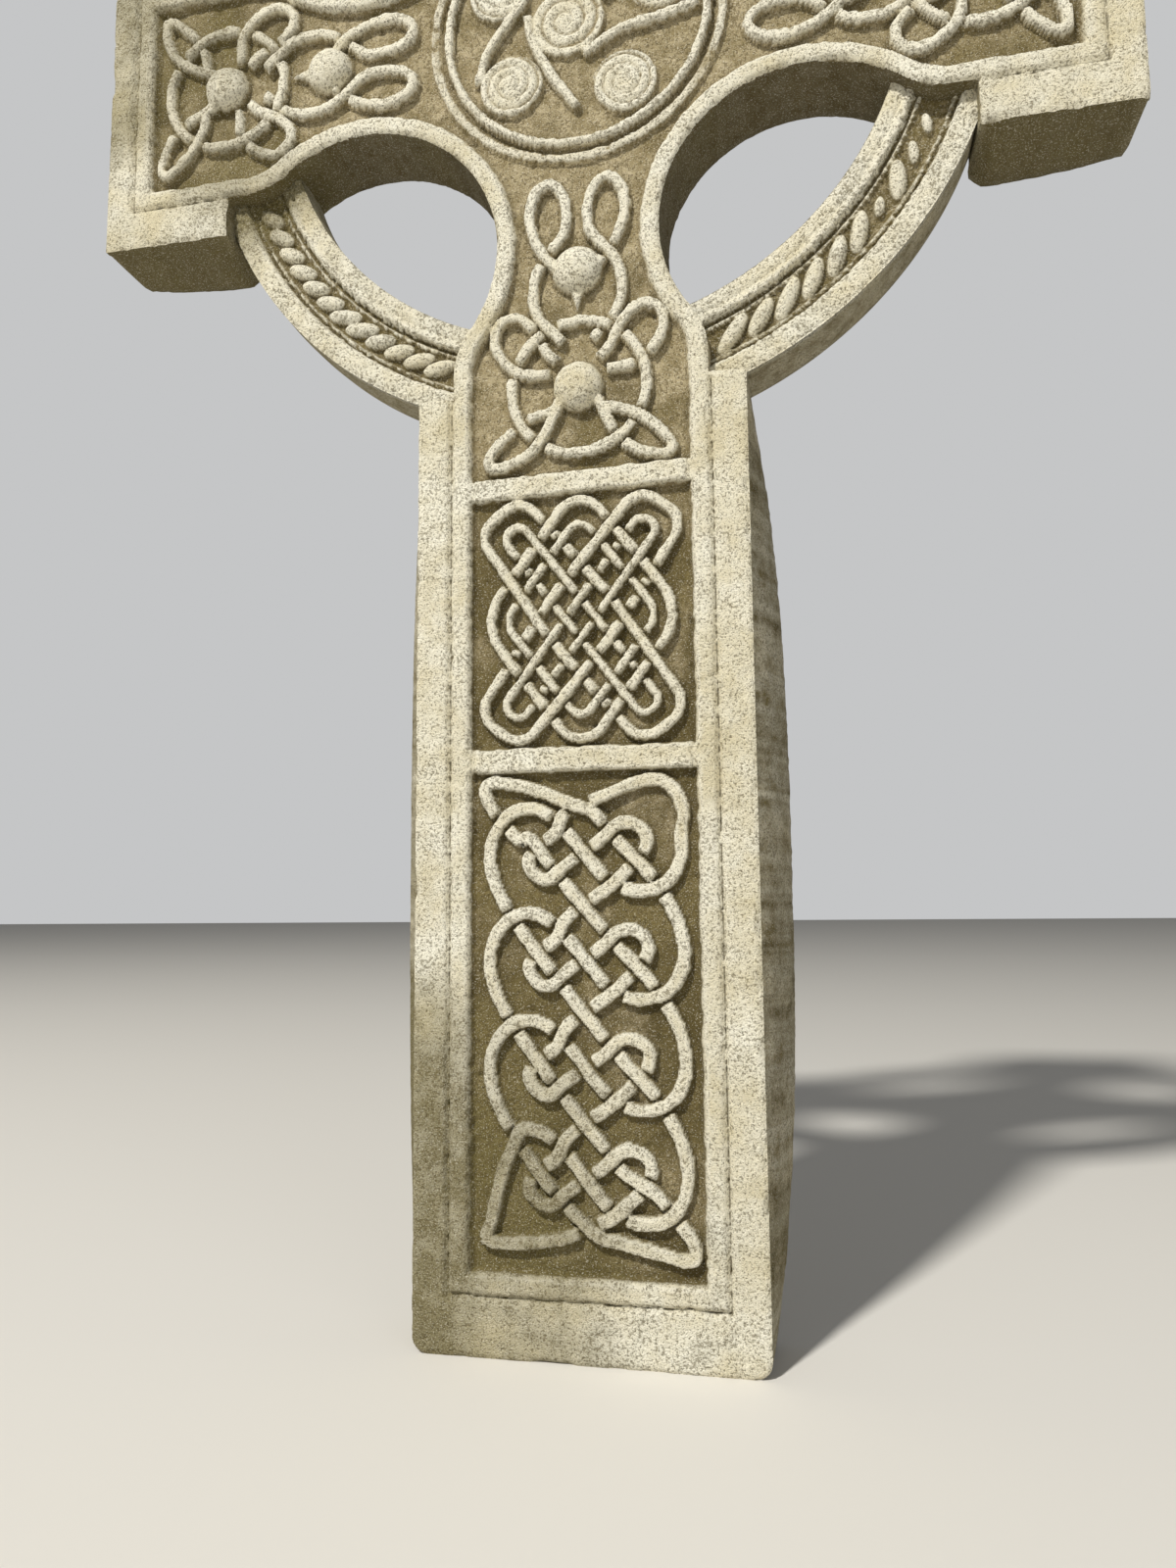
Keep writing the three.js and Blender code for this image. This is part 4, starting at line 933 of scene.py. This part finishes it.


# Depth behind the ring's borders, and the masks of weathering and painted shade, over one quarter's lattice.
def ring_field(quarter, angles, radii):
    floor_in, floor_out = RING_INNER + RING_INNER_BORDER, RING_OUTER - RING_OUTER_BORDER
    grain = ring_grain(angles.shape)
    uneven = radii + 0.35 * grain
    channel = ramp(floor_in - 0.8, floor_in + 0.6, uneven)
    channel *= 1 - ramp(floor_out - 0.6, floor_out + 0.8, uneven)
    field = RING_CHANNEL_DEPTH * channel + (SURFACE_GRAIN + 0.2 * channel) * grain
    for line in (floor_in + RING_RIDGE_INSET, floor_out - RING_RIDGE_INSET):
        field -= RING_RIDGE_HEIGHT * np.exp(-((uneven - line) / RING_RIDGE_WIDTH) ** 2)
    groove_radius = RING_INNER + RING_INNER_BORDER * RING_GROOVE_PLACE
    field += RING_GROOVE_DEPTH * np.exp(-((radii - groove_radius) / RING_GROOVE_WIDTH) ** 2)
    field = np.minimum(field, rope_depth(quarter, angles, radii, (floor_in + floor_out) / 2) + 0.1 * grain)
    # The end of the lower left rope by the arm is crumbled and overgrown.
    crumbled = np.zeros(angles.shape)
    if quarter == LOWER_LEFT:
        crumbled = 1 - ramp(0, CRUMBLED_RUN, angles - RING_FIRST)
    field = field * (1 - 0.35 * crumbled) + 0.9 * crumbled * (1 + 0.7 * grain)
    for rim in (RING_INNER, RING_OUTER):
        field += RING_EDGE_WEAR * np.exp(-((radii - rim) / RING_EDGE_WIDTH) ** 2)
    proud = 1 - ramp(1.3, 2.7, field)
    # How far each place lies below its surroundings, for painted shade with dirt in the ring's hollows
    sunken = 0.5 + 0.25 * np.clip((field - blurred(field, 16)) / 1.1, -1, 1)
    green = np.clip(0.3 + crumbled, 0, 1)
    sand = np.clip(0.35 - 0.3 * crumbled + 0.2 * grain, 0, 1)
    return field, np.stack([proud, sunken, green, sand], axis=-1).reshape(-1, 4)


# One quarter of the ring, laid out along its radius and its run.
def ring_quarter(quarter):
    angles, radii = np.meshgrid(np.linspace(RING_FIRST, RING_LAST, RING_COLUMNS),
                                np.linspace(RING_INNER, RING_OUTER, RING_ROWS))
    field, masks = ring_field(quarter, angles, radii)
    turned = angles + quarter * math.pi / 2
    face = np.stack([radii * np.cos(turned), field + RING_SETBACK, radii * np.sin(turned)], axis=-1)
    layers = [face.reshape(-1, 3)]
    layer_masks = [masks]
    number = np.arange(angles.size).reshape(angles.shape)
    cells = np.stack([number[:-1, :-1], number[1:, :-1], number[1:, 1:], number[:-1, 1:]], axis=-1)
    quads = [cells.reshape(-1, 4)]
    count = angles.size
    ends = []
    for radius, above, out in ((RING_INNER, number[0], -1), (RING_OUTER, number[-1], 1)):
        for layer_depth, inset in RING_WALL_LAYERS:
            r = radius - out * inset
            level = np.full(RING_COLUMNS, layer_depth)
            layers.append(np.c_[r * np.cos(turned[0]), level, r * np.sin(turned[0])])
            layer_masks.append(np.tile(RING_WALL_MASK, (RING_COLUMNS, 1)))
            here = count + np.arange(RING_COLUMNS)
            count += RING_COLUMNS
            wall = np.c_[above[:-1], here[:-1], here[1:], above[1:]]
            quads.append(wall if out < 0 else wall[:, ::-1])
            above = here
        ends.append(above)
    inner, outer = ends
    quads.append(np.c_[inner[1:], outer[1:], outer[:-1], inner[:-1]])
    points = np.vstack(layers) + [0, 0, CENTRE_HEIGHT]
    name = f"ring_quarter_{quarter + 1}"
    return mesh_piece(name, points, np.vstack(layer_masks), list(np.vstack(quads)), True)


# Material

class Nodes:
    """A material's nodes, whose inputs are numbers, colours or the outputs of other nodes."""

    def __init__(self, name):
        self.material = bpy.data.materials.new(name)
        self.material.use_nodes = True
        self.tree = self.material.node_tree
        self.shader = self.tree.nodes["Principled BSDF"]
        self.place = self.tree.nodes.new("ShaderNodeTexCoord").outputs["Object"]

    def put(self, socket, value):
        if hasattr(value, "is_output"):
            self.tree.links.new(value, socket)
        else:
            socket.default_value = value

    def noise(self, bumps_per_metre, detail=5.0, roughness=0.65):
        node = self.tree.nodes.new("ShaderNodeTexNoise")
        for name, value in (("Vector", self.place), ("Scale", bumps_per_metre), ("Detail", detail),
                            ("Roughness", roughness)):
            self.put(node.inputs[name], value)
        return node.outputs["Fac"]

    def sum(self, *terms):
        """Adds terms, each a value or a (value, factor) pair."""
        total = None
        for term in terms:
            value, factor = term if isinstance(term, tuple) else (term, 1.0)
            node = self.tree.nodes.new("ShaderNodeMath")
            node.operation = "MULTIPLY_ADD"
            self.put(node.inputs[0], value)
            self.put(node.inputs[1], factor)
            self.put(node.inputs[2], 0.0 if total is None else total)
            total = node.outputs[0]
        return total

    def span(self, value, low, high, out_low=0.0, out_high=1.0):
        node = self.tree.nodes.new("ShaderNodeMapRange")
        for name, given in (("Value", value), ("From Min", low), ("From Max", high), ("To Min", out_low),
                            ("To Max", out_high)):
            self.put(node.inputs[name], given)
        return node.outputs[0]

    def mix(self, share, first, second):
        node = self.tree.nodes.new("ShaderNodeMix")
        node.data_type = "RGBA"
        self.put(node.inputs[0], share)
        colours = [socket for socket in node.inputs if socket.type == "RGBA"]
        self.put(colours[0], first)
        self.put(colours[1], second)
        return next(socket for socket in node.outputs if socket.type == "RGBA")


# A colour given in the 0 to 255 steps of a screen, as linear light.
def linear(steps):
    return tuple(((step / 255 + 0.055) / 1.055) ** 2.4 for step in steps) + (1.0,)


def stone_material():
    n = Nodes("weathered cast stone with painted shade")
    attribute = n.tree.nodes.new("ShaderNodeAttribute")
    attribute.attribute_name = "weather_and_shade"
    split = n.tree.nodes.new("ShaderNodeSeparateColor")
    n.put(split.inputs[0], attribute.outputs["Color"])
    up, low, green = split.outputs
    sand = attribute.outputs["Alpha"]
    cloud, blotch = n.noise(45), n.noise(190)
    grain, dust = n.noise(1050, 3), n.noise(2100, 2)

    pale = n.mix(n.span(cloud, 0.36, 0.64), linear(DULL_CREAM), linear(BRIGHT_CREAM))
    olive = n.mix(n.span(cloud, 0.36, 0.64), linear(DARK_OLIVE), linear(LIGHT_OLIVE))
    dry = n.mix(n.span(blotch, 0.38, 0.62), linear(DARK_SAND), linear(LIGHT_SAND))
    ground = n.mix(n.span(n.sum(sand, (blotch, 0.5)), 0.5, 0.95), olive, dry)
    body = n.mix(n.span(n.sum(up, (blotch, 0.9), (grain, 0.5)), 0.95, 1.5), ground, pale)
    # Recesses, the walls of the openings and the undersides of the arms get painted shade with dirt.
    body = n.mix(n.span(n.sum(low, (blotch, 0.3)), 0.76, 0.9, 0.0, 0.8), body, linear(HOLLOW_SHADE_AND_DIRT))
    crest = n.sum((low, -1.0), (blotch, 0.1))
    body = n.mix(n.span(crest, -0.4, -0.3, 0.0, 0.7), body, linear(WORN_CREST))
    algae = n.span(n.sum(green, (cloud, 0.8), (blotch, 0.5)), 0.95, 1.6, 0.0, 0.9)
    body = n.mix(algae, body, linear(ALGAE))
    # Painted shade in the stone's small pits, scattered by noise
    pit_shade = n.sum(grain, (cloud, 0.2), (blotch, 0.25))
    body = n.mix(n.span(pit_shade, 0.74, 0.84, 0.0, 0.62), body, linear(PAINTED_PIT_SHADE))
    body = n.mix(n.span(dust, 0.42, 0.34, 0.0, 0.45), body, linear(PALE_GRAINS))
    body = n.mix(n.span(dust, 0.58, 0.66, 0.0, 0.5), body, linear(DARK_GRAINS))
    n.put(n.shader.inputs["Base Color"], body)
    n.put(n.shader.inputs["Roughness"], 0.93)
    n.put(n.shader.inputs["Specular IOR Level"], 0.2)

    bump = n.tree.nodes.new("ShaderNodeBump")
    n.put(bump.inputs["Height"], n.sum((blotch, 0.8), (grain, -0.6), (dust, -0.35)))
    n.put(bump.inputs["Strength"], 0.9)
    n.put(bump.inputs["Distance"], 0.0016)
    n.put(n.shader.inputs["Normal"], bump.outputs["Normal"])
    return n.material


stone = stone_material()
pieces = build_cross() + [ring_quarter(quarter) for quarter in range(QUARTERS)]


# Floor, light and camera

def lamp(name, place, size, power, tint):
    light = bpy.data.lights.new(name, "AREA")
    light.shape = "DISK"
    light.size = size
    light.energy = power
    light.color = tint
    holder = bpy.data.objects.new(name, light)
    holder.location = place
    holder.rotation_euler = (Vector(LAMP_TARGET) - Vector(place)).to_track_quat("-Z", "Y").to_euler()
    bpy.context.scene.collection.objects.link(holder)


floor_corners = [(side_x * FLOOR_HALF, side_y * FLOOR_HALF, 0)
                 for side_x, side_y in ((-1, -1), (1, -1), (1, 1), (-1, 1))]
floor_mesh = bpy.data.meshes.new("floor")
floor_mesh.from_pydata(floor_corners, [], [(0, 1, 2, 3)])
floor_material = bpy.data.materials.new("pale floor")
floor_material.use_nodes = True
floor_shader = floor_material.node_tree.nodes["Principled BSDF"]
floor_shader.inputs["Base Color"].default_value = linear(FLOOR_COLOUR)
floor_shader.inputs["Roughness"].default_value = 0.85
floor_mesh.materials.append(floor_material)
floor = bpy.data.objects.new("floor", floor_mesh)
bpy.context.scene.collection.objects.link(floor)

world = bpy.data.worlds.new("studio")
world.use_nodes = True
background = world.node_tree.nodes["Background"]
background.inputs["Color"].default_value = (0.93, 0.94, 0.95, 1)
# The backdrop looks brighter to the camera than the light it gives.
rays = world.node_tree.nodes.new("ShaderNodeLightPath")
strength = world.node_tree.nodes.new("ShaderNodeMath")
strength.operation = "MULTIPLY_ADD"
world.node_tree.links.new(rays.outputs["Is Camera Ray"], strength.inputs[0])
strength.inputs[1].default_value = BACKDROP_GLOW
strength.inputs[2].default_value = WORLD_LIGHT
world.node_tree.links.new(strength.outputs[0], background.inputs["Strength"])
bpy.context.scene.world = world
bpy.context.scene.view_settings.view_transform = "Standard"

lamp("key", place=(-1.0, -2.2, 2.7), size=0.3, power=136, tint=(1.0, 0.975, 0.925))
lamp("fill", place=(1.2, -1.4, 0.7), size=1.2, power=4, tint=(0.95, 0.97, 1.0))

camera_data = bpy.data.cameras.new("camera")
camera_data.sensor_fit = "VERTICAL"
camera_data.sensor_height = SENSOR_HEIGHT
camera_data.lens = FOCAL_PIXELS / PHOTO_HEIGHT * SENSOR_HEIGHT
camera_data.clip_start = 0.01
camera = bpy.data.objects.new("camera", camera_data)
turned_camera = Matrix((CAMERA_RIGHT, CAMERA_UP, CAMERA_BACK)).transposed().to_4x4()
camera.matrix_world = Matrix.Translation(Vector(CAMERA_PLACE) * MM) @ turned_camera
bpy.context.scene.collection.objects.link(camera)
bpy.context.scene.camera = camera

bpy.context.view_layer.update()
for piece in pieces:
    print(piece.name, sum(len(face.vertices) - 2 for face in piece.data.polygons), "triangles")
